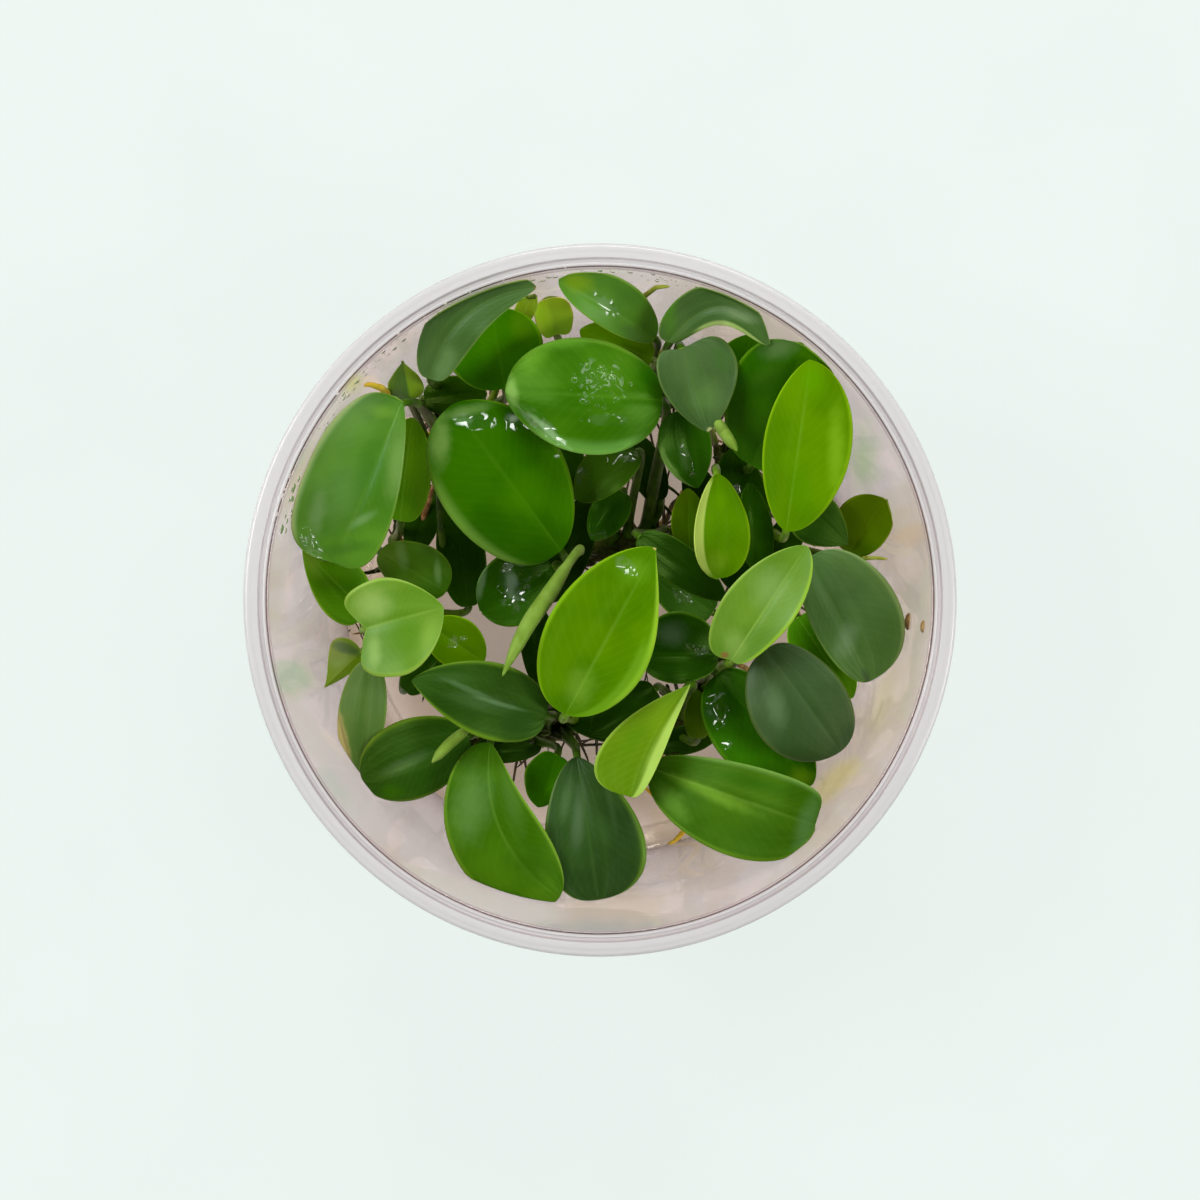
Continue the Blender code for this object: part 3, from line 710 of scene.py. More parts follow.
def pick(pieces: list[Piece]) -> None:
    """Selects these pieces alone and makes the first one active.

    Args:
        pieces: the mesh objects.
    """
    bpy.ops.object.select_all(action="DESELECT")
    for piece in pieces:
        piece.select_set(True)
    bpy.context.view_layer.objects.active = pieces[0]


def fresh(name: str) -> Piece:
    """Names the primitive that was just added.

    Args:
        name: the name of the object and its mesh.

    Returns:
        The new mesh object.
    """
    piece = bpy.context.object
    piece.name = name
    piece.data.name = name
    return piece


def skin(name: str, surface: Surface, along: int, across: int) -> Piece:
    """A grid primitive laid over a surface, with its seams and poles closed.

    Args:
        name: the piece's name.
        surface: gives the point, in millimetres, at two shares of 0 to 1.
        along: faces in the first direction.
        across: faces in the second direction.

    Returns:
        The new mesh object.
    """
    bpy.ops.object.select_all(action="DESELECT")
    bpy.ops.mesh.primitive_grid_add(x_subdivisions=along, y_subdivisions=across, size=1.0)
    piece = fresh(name)
    for vertex in piece.data.vertices:
        vertex.co = surface(vertex.co.x + 0.5, vertex.co.y + 0.5) * MM
    bpy.ops.object.mode_set(mode="EDIT")
    bpy.ops.mesh.select_all(action="SELECT")
    bpy.ops.mesh.remove_doubles(threshold=1e-6)
    bpy.ops.object.mode_set(mode="OBJECT")
    bpy.ops.object.shade_smooth()
    return piece


def join(pieces: list[Piece]) -> Piece:
    """Joins mesh objects into the first one, which keeps their materials.

    Args:
        pieces: the mesh objects.

    Returns:
        The first one.
    """
    pick(pieces)
    bpy.ops.object.join()
    return pieces[0]


def apply(piece: Piece) -> None:
    """Applies every modifier of a piece in order.

    Args:
        piece: the mesh object.
    """
    pick([piece])
    for modifier in list(piece.modifiers):
        bpy.ops.object.modifier_apply(modifier=modifier.name)


def place_on_part(piece: Piece, slot: str, *nodes: str) -> None:
    """Makes a piece ride on the part and stand for its nodes.

    Args:
        piece: the finished piece.
        slot: the record's material slot; not used.
        nodes: the solids that it stands for.
    """
    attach(piece, BODY)
    if nodes:
        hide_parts(*nodes)
    LOG.info("%s: %d faces", piece.name, len(piece.data.polygons))


def shared(finish: SkinFinish | ClearFinish, name: str) -> Material:
    """The material of a finish, made once and then used again."""
    return bpy.data.materials.get(name) or finish.material(name)


def bezier(points: tuple[Vector, Vector, Vector, Vector], place: float) -> Vector:
    """A cubic curve.

    Args:
        points: its four points.
        place: a share of it, 0 to 1.

    Returns:
        The point there.
    """
    a, b, c, d = points
    rest = 1.0 - place
    return a * rest**3 + b * (3 * rest**2 * place) + c * (3 * rest * place**2) + d * place**3


def through(points: list[Vector], place: float) -> Vector:
    """A smooth curve that passes through all points.

    Args:
        points: the points in order.
        place: a share of the curve, 0 to 1.

    Returns:
        The point there.
    """
    spans = len(points) - 1
    span = min(int(place * spans), spans - 1)
    local = place * spans - span
    before, start = points[max(span - 1, 0)], points[span]
    end, after = points[span + 1], points[min(span + 2, spans)]
    return bezier((start, start + (end - before) / 6, end - (after - start) / 6, end), local)


def direction(curve: Curve, place: float) -> Vector:
    """The unit direction of a curve at place."""
    low, high = max(place - 0.01, 0.0), min(place + 0.01, 1.0)
    return (curve(high) - curve(low)).normalized()


@dataclass
class Tube:
    """A round skin along a curve, with a radius that changes along and round it."""

    curve: Curve
    radius: Callable[[float, float], float]
    along: int
    across: int
    rings: list[tuple[Vector, Vector, Vector]] = field(default_factory=list)

    def __post_init__(self) -> None:
        """Works out each ring's centre and its two directions, without a twist."""
        side: Vector | None = None
        for index in range(self.along + 1):
            forward = direction(self.curve, index / self.along)
            side = forward.orthogonal().normalized() if side is None else side
            side = (side - forward * side.dot(forward)).normalized()
            self.rings.append((self.curve(index / self.along), side, forward.cross(side)))

    def surface(self, along: float, around: float) -> Vector:
        """A point on the skin.

        Args:
            along: the share of its length.
            around: the share of the way round.

        Returns:
            The point.
        """
        centre, side, other = self.rings[round(along * self.along)]
        turn = 2 * math.pi * around
        reach = self.radius(along, around)
        return centre + (side * math.cos(turn) + other * math.sin(turn)) * reach

    def build(self, name: str, material: Material) -> Piece:
        """Makes the tube's mesh.

        Args:
            name: the piece's name.
            material: its skin.

        Returns:
            The new mesh object.
        """
        piece = skin(name, self.surface, self.along, self.across)
        piece.data.materials.append(material)
        return piece


class Pot:
    """The inside of the cup, which every leaf and the gel keep to."""

    height = 62.0
    floor = 1.6
    radius_at_floor = 36.0
    radius_at_top = 46.5
    clearance = 0.3

    @classmethod
    def radius(cls, height: float) -> float:
        """The radius of the inner wall at a height."""
        share = (height - cls.floor) / (cls.height - cls.floor)
        return cls.radius_at_floor + (cls.radius_at_top - cls.radius_at_floor) * share

    @classmethod
    def keep_in(cls, point: Vector) -> Vector:
        """Keeps a point inside the cup.

        Args:
            point: any point.

        Returns:
            The point, moved in to the wall where it would pass through it.
        """
        limit = cls.radius(point.z) - cls.clearance
        reach = math.hypot(point.x, point.y)
        if reach <= limit:
            return point
        return Vector((point.x * limit / reach, point.y * limit / reach, point.z))


def lathed(name: str, profile: list[Span], sides: int) -> Piece:
    """A round solid: a flat disc whose rim is extruded along a profile and closed at its end.

    Args:
        name: the piece's name.
        profile: (radius, height) of each ring, the first and the last a flat face's edge.
        sides: sides of each ring.

    Returns:
        The new mesh object.
    """
    bpy.ops.object.select_all(action="DESELECT")
    radius, height = (value * MM for value in profile[0])
    bpy.ops.mesh.primitive_circle_add(vertices=sides, radius=radius, fill_type="NGON",
                                      location=(0.0, 0.0, height))
    piece = fresh(name)
    bpy.ops.object.transform_apply(location=True, rotation=True, scale=True)
    bpy.ops.object.mode_set(mode="EDIT")
    bpy.ops.mesh.select_all(action="SELECT")
    bpy.ops.mesh.flip_normals()
    bpy.ops.mesh.select_mode(type="EDGE")
    for (before, low), (after, high) in zip(profile, profile[1:]):
        bpy.ops.mesh.extrude_edges_move(
            TRANSFORM_OT_translate={"value": (0.0, 0.0, (high - low) * MM)})
        share = after / before
        bpy.ops.transform.resize(value=(share, share, 1.0), center_override=(0.0, 0.0, high * MM))
    bpy.ops.mesh.edge_face_add()
    bpy.ops.mesh.select_all(action="SELECT")
    bpy.ops.mesh.normals_make_consistent(inside=False)
    bpy.ops.object.mode_set(mode="OBJECT")
    return piece


@dataclass
class CultureCup:
    """The round clear cup: foot, sloping wall, seat lip, lid groove and flange."""

    sides: int = 192
    wall: float = 0.8
    rim_radius: float = 50.0
    flange_top: float = 61.2
    flange_thickness: float = 1.1
    flange_chamfer: float = 0.3
    skirt_drop: float = 2.4
    groove_outer: float = 48.0
    groove_floor: float = 60.4
    groove_draft: float = 0.2
    lip_outer: float = 47.3
    lip_inset: float = 0.3
    foot_outer: float = 35.4
    foot_inner: float = 32.6
    foot_recess: float = 0.6
    foot_slope: float = 9.6
    rounding: float = 0.14
    sharp_over: float = 25.0
    smooth_under: float = 40.0
    frost_starts: float = 46.75

    def profile(self) -> list[Span]:
        """The cup's outline from under its floor, round the rim and back to its floor.

        Returns:
            The radius and height of each ring.
        """
        under = self.flange_top - self.flange_thickness
        edge = self.rim_radius
        chamfer = self.flange_chamfer
        return [
            (self.foot_inner - self.foot_slope, self.foot_recess),
            (self.foot_inner, 0.0),
            (self.foot_outer, 0.0),
            (Pot.radius_at_floor + self.wall, Pot.floor),
            (Pot.radius_at_top + self.wall - self.lip_inset, under),
            (edge - self.wall, under),
            (edge - self.wall, under - self.skirt_drop),
            (edge, under - self.skirt_drop),
            (edge, self.flange_top - chamfer),
            (edge - chamfer - 0.1, self.flange_top),
            (self.groove_outer, self.flange_top),
            (self.groove_outer - self.groove_draft, self.groove_floor),
            (self.lip_outer, self.groove_floor),
            (self.lip_outer, Pot.height),
            (Pot.radius_at_top + self.lip_inset, Pot.height),
            (Pot.radius_at_top, Pot.height),
            (Pot.radius_at_floor, Pot.floor),
        ]

    def build(self) -> Piece:
        """Makes the cup, rounds its corners and dresses its wall and rim.

        Returns:
            The finished piece.
        """
        piece = lathed("clear_cup", self.profile(), self.sides)
        soften = piece.modifiers.new("soften", "BEVEL")
        soften.width = self.rounding * MM
        soften.segments = 3
        soften.limit_method = "ANGLE"
        soften.angle_limit = math.radians(self.sharp_over)
        apply(piece)
        bpy.ops.object.shade_smooth_by_angle(angle=math.radians(self.smooth_under))
        piece.data.materials.append(CLEAR_WALL.material("clear wall"))
        piece.data.materials.append(FROSTED_RIM.material("frosted rim"))
        for face in piece.data.polygons:
            reach = math.hypot(face.center.x, face.center.y) / MM
            face.material_index = int(reach > self.frost_starts)
        place_on_part(piece, "clear_plastic", "cup")
        return piece


@dataclass
class AgarGel:
    """The clear gel in the cup: it climbs the wall a little and its top is slightly uneven."""

    sides: int = 128
    bottom: float = 1.7
    top: float = 14.0
    gap: float = 0.06
    rise: float = 0.9
    reach: float = 1.5
    rings: int = 22
    first_step: float = 0.15
    step_growth: float = 0.07
    unevenness: float = 0.22
    swells: float = 110.0
    dimples: float = 290.0
    calm_edge: float = 4.0
    smooth_under: float = 50.0

    def profile(self) -> list[Span]:
        """The gel's outline from its floor up the wall and in over its top.

        Returns:
            The radius and height of each ring.
        """
        crest = self.top + self.rise
        edge = Pot.radius(crest) - self.gap
        outline = [(Pot.radius(self.bottom) - self.gap, self.bottom), (edge, crest)]
        for ring in range(1, self.rings):
            in_by = self.first_step * ring + self.step_growth * ring**2
            outline.append((edge - in_by, self.top + self.rise * math.exp(-in_by / self.reach)))
        return outline

    def build(self) -> Piece:
        """Makes the gel and gives its top a soft unevenness.

        Returns:
            The finished piece.
        """
        piece = lathed("gel", self.profile(), self.sides)
        for vertex in piece.data.vertices:
            if vertex.co.z > (self.bottom + 1.0) * MM:
                bumps = noise.noise(vertex.co * self.swells)
                bumps += 0.5 * noise.noise(vertex.co * self.dimples)
                off_wall = Pot.radius(self.top) - vertex.co.xy.length / MM
                calm = max(0.0, min(1.0, off_wall / self.calm_edge))
                vertex.co.z += bumps * calm * self.unevenness * MM
        bpy.ops.object.shade_smooth_by_angle(angle=math.radians(self.smooth_under))
        piece.data.materials.append(CLEAR_GEL.material("clear gel"))
        place_on_part(piece, "gel", "agar_gel")
        return piece


@dataclass(frozen=True)
class Root:
    """One root: its place along the rhizome, points it passes through, its radius and its skin."""

    along: float
    route: tuple[Place, ...]
    radius: float = 0.5
    finish: SkinFinish = PALE_ROOT


@dataclass(frozen=True)
class Undergrowth:
    """One kind of small growth round a stem, and the ranges that each one is drawn from.

    reach and radius are its own, near and far are the heights of its two points, near_share is
    how far out the near one is, and near_bend and far_bend are how much each is turned aside.
    """

    count: int
    reach: Span
    radius: Span
    near: Span
    far: Span
    near_share: float
    near_bend: float
    far_bend: float
    finish: SkinFinish


UNDERGROWTH = (
    Undergrowth(26, (4.0, 15.0), (0.2, 0.45), (9.0, 13.0), (3.0, 9.0), 0.45, 1.0, 0.0, DARK_ROOT),
    Undergrowth(10, (2.5, 5.5), (0.5, 0.9), (18.0, 21.0), (23.0, 30.0), 0.7, 0.0, 0.5, OLD_STALK),
)


@dataclass
class Rhizome:
    """A creeping stem on the gel with leaf scars round it, and its roots."""

    name: str
    start: Span
    end: Span
    thickness: float
    roots: tuple[Root, ...]
    above_gel: float = 0.4
    bend: float = 3.0
    lean_reach: float = 12.0
    end_taper: float = 6.0
    plain: float = 0.88
    scar_depth: float = 0.1
    scar_waves: float = 24.0
    lump_depth: float = 0.08
    lump_waves: float = 31.0
    flute_depth: float = 0.06
    neck_place: float = 0.4
    neck_depth: float = 0.5
    knob_depth: float = 0.1
    knob_waves: float = 40.0
    faces: tuple[int, int] = (40, 20)
    root_faces: tuple[int, int] = (28, 8)

    def undergrowth(self) -> list[Root]:
        """The fine roots that run through the gel and the short old stalks round the stem.

        Returns:
            Their values.
        """
        chance = random.Random(self.name)
        grown = []
        for kind in UNDERGROWTH:
            for _ in range(kind.count):
                along, turn = chance.random(), chance.uniform(0.0, 2.0 * math.pi)
                outward = Vector((math.cos(turn), math.sin(turn), 0.0))
                aside = Vector((-outward.y, outward.x, 0.0)) * chance.uniform(-self.bend, self.bend)
                foot = Vector((*self.axis(along).xy, 0.0))
                reach, radius = chance.uniform(*kind.reach), chance.uniform(*kind.radius)
                near = foot + outward * reach * kind.near_share + aside * kind.near_bend
                near += UP * chance.uniform(*kind.near)
                far = foot + outward * reach + aside * kind.far_bend
                far += UP * chance.uniform(*kind.far)
                grown.append(Root(along, (tuple(near), tuple(far)), radius, kind.finish))
        return grown

    def axis(self, place: float) -> Vector:
        """The point on the stem's axis at a share of its length."""
        height = AgarGel.top + self.thickness + self.above_gel
        return Vector((*self.start, height)).lerp(Vector((*self.end, height)), place)

    def stalk_start(self, along: float, goal: Vector) -> tuple[Vector, Vector]:
        """Where a stalk comes from.

        Args:
            along: its place along the stem.
            goal: the point that it grows to.

        Returns:
            The point on the axis, and the direction that it leaves in.
        """
        centre = self.axis(along)
        flat = Vector((goal.x - centre.x, goal.y - centre.y, 0.0))
        outward = flat.normalized() if flat.length > 0.01 else UP
        return centre, (UP + outward * min(flat.length / self.lean_reach, 1.0)).normalized()

    def stem_radius(self, along: float, around: float) -> float:
        """The stem's radius: round ends, a ring at each scar and small lumps.

        Args:
            along: the share of its length.
            around: the share of the way round.

        Returns:
            The radius.
        """
        ends = min(1.0, self.end_taper * along, self.end_taper * (1.0 - along)) ** 0.5
        scars = self.scar_depth * abs(math.sin(along * self.scar_waves)) ** 6
        lumps = self.lump_depth * math.sin(along * self.lump_waves + around * TWICE_ROUND)
        lumps += self.flute_depth * math.sin(around * THRICE_ROUND)
        return self.thickness * ends * (self.plain + scars + lumps)

    def root_tube(self, root: Root) -> Tube:
        """One root from inside the stem to its thin end.

        Args:
            root: the root's values.

        Returns:
            Its skin.
        """
        origin = self.axis(root.along)
        first = Vector(root.route[0])
        neck = origin.lerp(first, self.neck_place)
        in_gel = first.z < AgarGel.top
        neck.z = AgarGel.top - self.neck_depth if in_gel else min(origin.z + 1.0, first.z)
        route = [origin, neck] + [Vector(point) for point in root.route]

        def radius(along: float, around: float) -> float:
            """The root's radius: thin at both ends, slightly knobbly between.

            Args:
                along: the share of its length.
                around: the share of the way round.

            Returns:
                The radius.
            """
            taper = (1.0 - along) ** 0.35 * (0.75 + 0.25 * min(1.0, along * 8.0))
            knobs = self.knob_depth * math.sin(along * self.knob_waves + around * ONCE_ROUND)
            return root.radius * taper * (1.0 + knobs)

        return Tube(lambda place: Pot.keep_in(through(route, place)), radius, *self.root_faces)

    def build(self) -> Piece:
        """Makes the stem with its roots as one piece.

        Returns:
            The finished piece.
        """
        label = self.name + "_rhizome"
        stem = Tube(self.axis, self.stem_radius, *self.faces)
        pieces = [stem.build(label, shared(STEM, "rhizome skin"))]
        for number, root in enumerate((*self.roots, *self.undergrowth()), 1):
            skin_name = "root skin " + str(root.finish.body)
            tube = self.root_tube(root)
            pieces.append(tube.build(f"{label}_root_{number}", shared(root.finish, skin_name)))
        piece = join(pieces)
        place_on_part(piece, "rhizome", "rhizome_" + self.name)
        return piece


@dataclass
class Leaf:
    """A leaf: stalk and blade. It repeats the values of the solid that it stands for.

    left and right are the blade's halves: the widest place's distance from the midrib, how far
    that edge stands above it, and how the outline draws in at the base and at the tip, where a
    low number is blunt. ruffle is how far the margin waves, rib how clearly the midrib shows and
    light how much lighter than its tone the leaf is, which partly paints light on leaves that lie
    in shade, where it is above one, and shade on others, where it is below one. marks are its
    patches and bands, among them painted sheens and highlights. A leaf low in the shade has no
    solid of its own and only shows here.
    """

    name: str
    rhizome: str
    along: float
    base: Place
    tip: Place
    left: Half
    right: Half
    tone: Tone
    rise: Span = (1.0, 1.0)
    sweep: float = 0.0
    lobe: float = 0.6
    curl: float = 1.6
    wave: float = 0.0
    stalk: float = 0.8
    lean: Span = (0.0, 0.0)
    rib: float = 0.35
    light: float = 1.0
    ruffle: float = 0.12
    marks: tuple[Patch | Band, ...] = ()
    thickness: float = 0.42
    thin_edge: float = 0.3
    channel: float = 0.16
    channel_width: float = 0.55
    lobe_ends: float = 0.35
    waves: float = 14.0
    ruffles: float = 2.3
    other_side: float = 2.1
    lumps: float = 0.34
    lump_scale: float = 0.13
    foot_ends: float = 0.06
    blade_starts: float = 0.7
    stalk_stops: float = 0.85
    sheath: float = 0.45
    sheath_ends: float = 0.14
    leaves_stem: float = 0.4
    upward_pull: float = 0.35
    from_behind: float = 2.5
    from_below: float = 3.0
    slim: float = 0.55
    skin_over_stalk: float = 0.08
    faces: tuple[int, int] = (44, 28)
    stalk_faces: tuple[int, int] = (46, 12)

    @property
    def seed(self) -> float:
        """A number of this leaf's own, which its waves and lumps start from."""
        return sum(ord(letter) for letter in self.name) * 0.37

    def midrib(self, place: float) -> Vector:
        """The midrib's curve.

        Args:
            place: a share of the blade's length.

        Returns:
            The point there.
        """
        base, tip = Vector(self.base), Vector(self.tip)
        chord = tip - base
        aside = UP.cross(chord).normalized() * (self.sweep / 0.75)
        near = base + chord / 3 + aside + UP * self.rise[0]
        far = base + chord * 2 / 3 + aside + UP * self.rise[1]
        return bezier((base, near, far, tip), place)

    def lifted(self, point: Vector, place: float, across: float, lift: float) -> float:
        """How far the blade stands above its midrib's plane, before the outline narrows it.

        Args:
            point: the place on that plane.
            place: the share of the blade's length.
            across: -1 at the left edge to 1 at the right one.
            lift: how far this half's edge rises.

        Returns:
            The height: the edge's rise, its waves, its ruffles and the blade's soft lumps.
        """
        far = abs(across)
        rise = lift * far**self.curl + self.wave * math.sin(place * self.waves + across) * far**2
        turn = place * 2.0 * math.pi * self.ruffles + self.seed
        turn += self.other_side if across < 0 else 0.0
        rise += self.ruffle * math.sin(turn) * far**3
        own_lumps = Vector((self.seed, 0.0, 0.0))
        return rise + self.lumps * noise.noise(point * self.lump_scale + own_lumps)

    def blade_point(self, place: float, across: float) -> Vector:
        """The point on the blade's upper side.

        Args:
            place: the share of the way from the blade's base to its tip.
            across: -1 at the left edge, 0 at the midrib, 1 at the right edge.

        Returns:
            The point, kept inside the cup.
        """
        forward = direction(self.midrib, place)
        side = UP.cross(forward).normalized()
        normal = forward.cross(side)
        half, lift, base_end, tip_end = self.left if across < 0 else self.right
        widest = base_end / (base_end + tip_end)
        peak = widest**base_end * (1.0 - widest) ** tip_end
        width = place**base_end * (1.0 - place) ** tip_end / peak if 0.0 < place < 1.0 else 0.0
        far = out = abs(across)
        up = 0.0
        for band in self.marks:
            if isinstance(band, Band) and band.curl and across * band.side > 0.0:
                out, up = band.turned(far, place)
        back = self.lobe * max(0.0, 1.0 - place / self.lobe_ends) ** 2
        point = self.midrib(place) - side * (math.copysign(out, across) * half * width)
        point -= forward * (back * far * 2.0 * width)
        rise = self.lifted(point, place, across, lift) + up * half
        groove = math.exp(-((far * half * width / self.channel_width) ** 2)) * self.channel
        fade = min(1.0, (1.0 - place) * 3.0)
        return Pot.keep_in(point + normal * (rise * width - groove * fade * width**0.5))

    def surface(self, along: float, sideways: float) -> Vector:
        """The blade as a surface of two shares, closer rings at its round ends."""
        place = (1.0 - math.cos(math.pi * along)) / 2.0
        return self.blade_point(place, 1.0 - 2.0 * sideways)

    def stalk_curve(self) -> Curve:
        """The stalk's route from inside the rhizome, then under the midrib to near the tip.

        Returns:
            The curve.
        """
        rhizome = RHIZOMES[self.rhizome]
        base = Vector(self.base)
        centre, away = rhizome.stalk_start(self.along, base)
        start = centre + away * (rhizome.thickness + self.leaves_stem)
        reach = (base - start).length
        forward = direction(self.midrib, 0.0)
        aside = Vector((*self.lean, 0.0))
        handles = (start, start + away * reach * self.upward_pull + aside,
                   base - forward * self.from_behind - UP * self.from_below + aside,
                   self.under_blade(0.0, self.blade_starts))
        foot = centre + away * (rhizome.thickness * 0.5)
        free = self.blade_starts - self.foot_ends

        def curve(place: float) -> Vector:
            """The stalk's route.

            Args:
                place: a share of it, 0 to 1.

            Returns:
                The point there.
            """
            if place < self.foot_ends:
                return foot.lerp(start, place / self.foot_ends)
            if place < self.blade_starts:
                return Pot.keep_in(bezier(handles, (place - self.foot_ends) / free))
            share = (place - self.blade_starts) / (1.0 - self.blade_starts)
            return self.under_blade(share * self.stalk_stops, place)

        return curve

    def under_blade(self, on_blade: float, along: float) -> Vector:
        """The middle of the stalk where it runs in the blade's underside.

        Args:
            on_blade: the share of the blade's length.
            along: the share of the stalk's length.

        Returns:
            The point, kept inside the cup.
        """
        forward = direction(self.midrib, on_blade)
        normal = forward.cross(UP.cross(forward).normalized())
        sunk = self.stalk_radius(along, 0.0) + self.skin_over_stalk
        return Pot.keep_in(self.blade_point(on_blade, 0.0) - normal * sunk)

    def stalk_radius(self, along: float, around: float) -> float:
        """The stalk's radius: a sheath at its foot, slim under the blade, a point at its end.

        Args:
            along: the share of its length.
            around: the share of the way round, which changes nothing.

        Returns:
            The radius.
        """
        if along >= self.blade_starts:
            share = (along - self.blade_starts) / (1.0 - self.blade_starts)
            return self.slim * max(0.0, 1.0 - share) ** 0.8
        share = along / self.blade_starts
        sheath = self.sheath * max(0.0, 1.0 - share / self.sheath_ends)
        return self.stalk + (self.slim - self.stalk) * share + sheath if along > 0.0 else 0.0

    def build(self) -> Piece:
        """Makes the leaf as one piece: blade with a thin margin, pale underside and stalk.

        Returns:
            The finished piece.
        """
        blade = skin(self.name + "_leaf", self.surface, *self.faces)
        young = self.tone in (Tone.LIME, Tone.PALE, Tone.FRESH, Tone.GOLDEN)
        height = (self.base[2] + self.tip[2]) / 2.0
        finish = self.tone.value.lit(self.light)
        top = BladeSkin().material(self.name + " blade", finish, self.marks, self.rib, height)
        blade.data.materials.append(top)
        blade.data.materials.append(shared(UNDERSIDE, "leaf underside"))
        body = blade.vertex_groups.new(name="body")
        flat = blade.data.uv_layers[0].data
        for loop in blade.data.loops:
            off_rib = abs(2.0 * flat[loop.index].uv.y - 1.0)
            body.add([loop.vertex_index], 1.0 - off_rib**4, "REPLACE")
        solid = blade.modifiers.new("thickness", "SOLIDIFY")
        solid.thickness = self.thickness * MM
        solid.offset = -1.0
        solid.vertex_group = "body"
        solid.thickness_vertex_group = self.thin_edge
        solid.material_offset = 1
        apply(blade)
        skin_finish = (YOUNG_STALK, "young stalk skin") if young else (STALK, "stalk skin")
        tube = Tube(self.stalk_curve(), self.stalk_radius, *self.stalk_faces)
        piece = join([blade, tube.build(self.name + "_stalk", shared(*skin_finish))])
        rows = [row for row in frame["record"]["subparts"] if row["node"] == "leaf_" + self.name]
        slot = rows[0]["material_slot"] if rows else "leaf_deep"
        place_on_part(piece, slot, *[row["node"] for row in rows])
        return piece


def low_leaf(name: str, rhizome: str, along: float, base: Place, tip: Place, half: float,
             tone: Tone = Tone.BLACK, light: float = 1.0, stalk: float = 0.6,
             marks: tuple[Patch, ...] = ()) -> Leaf:
    """A small even leaf deep between the others.

    Args:
        name: its name.
        rhizome: the stem that it grows from.
        along: its place along the stem.
        base: the blade's base.
        tip: the blade's tip.
        half: the width of each half of the blade.
        tone: its finish.
        light: how much lighter than its tone it is, painted light on a leaf in shade.
        stalk: the stalk's radius.
        marks: its patches.

    Returns:
        The leaf.
    """
    even = (half, 0.0, 0.5, 0.6)
    return Leaf(name, rhizome, along, base, tip, even, even, tone, stalk=stalk, light=light,
                marks=marks)


@dataclass
class Spear:
    """A young leaf still rolled up: a thin stalk that swells into a pointed roll."""

    name: str
    rhizome: str
    along: float
    route: tuple[Place, ...]
    thickness: float
    slim: float = 0.68
    swell: float = 0.42
    lap: float = 0.16
    lap_ends: float = 0.9
    roll_starts: float = 0.5
    point_taper: float = 9.0
    upward_pull: float = 0.35
    faces: tuple[int, int] = (60, 20)

    def radius(self, along: float, around: float) -> float:
        """The roll's radius, with the step of its outer turn.

        Args:
            along: the share of its length.
            around: the share of the way round.

        Returns:
            The radius.
        """
        if along in (0.0, 1.0):
            return 0.0
        roll = max(0.0, (along - self.roll_starts) / (1.0 - self.roll_starts))
        full = self.slim + self.swell * math.sin(math.pi * min(1.0, roll * 1.1)) ** 0.8
        point = min(1.0, (1.0 - along) * self.point_taper) ** 0.7
        climbs = around < self.lap_ends
        share = around / self.lap_ends if climbs else (1.0 - around) / (1.0 - self.lap_ends)
        return self.thickness * full * point * (1.0 + self.lap * share * min(1.0, roll * 4.0))

    def build(self) -> Piece:
        """Makes the furled leaf, with the seam of its outer turn along it.

        Returns:
            The finished piece.
        """
        rhizome = RHIZOMES[self.rhizome]
        first = Vector(self.route[0])
        centre, away = rhizome.stalk_start(self.along, first)
        start = centre + away * (rhizome.thickness * 0.5)
        points = [start, start + away * (first - start).length * self.upward_pull]
        points += [Vector(point) for point in self.route]
        tube = Tube(lambda place: through(points, place), self.radius, *self.faces)
        piece = tube.build(self.name + "_spear", shared(SPEAR, "furled leaf skin"))
        place_on_part(piece, "leaf_lime", "furled_leaf_" + self.name)
        return piece


# A drop's dome, the part that is sunk in what carries it and its length, in radii.
DROP_DOME = 0.5
DROP_SUNK = 0.12
DROP_LENGTH = 1.15


def bead(name: str, middle: Vector, normal: Vector, ahead: Vector, size: float) -> Piece:
    """One drop: a small ball, flattened on what carries it and sunk a little into it.

    Args:
        name: its name.
        middle: its middle, on the surface.
        normal: the surface's direction.
        ahead: the direction that the drop is drawn out in.
        size: its radius.

    Returns:
        The new mesh object.
    """
    bpy.ops.object.select_all(action="DESELECT")
    bpy.ops.mesh.primitive_ico_sphere_add(subdivisions=3, radius=1.0)
    drop = fresh(name)
    side = normal.cross(ahead).normalized()
    front = side.cross(normal)
    for vertex in drop.data.vertices:
        x, y, z = vertex.co
        low = z * (DROP_DOME if z > 0.0 else DROP_SUNK)
        vertex.co = (middle + (side * x + front * y * DROP_LENGTH + normal * low) * size) * MM
    return drop


def gather(name: str, beads: list[Piece], material: Material) -> Piece:
    """Joins drops into one piece, which rides on the part.

    Args:
        name: the piece's name.
        beads: the drops.
        material: what they are made of.

    Returns:
        The finished piece.
    """
    piece = join(beads)
    piece.name = name
    piece.data.materials.append(material)
    bpy.ops.object.shade_smooth()
    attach(piece, BODY)
    LOG.info("%s: %d drops", piece.name, len(beads))
    return piece


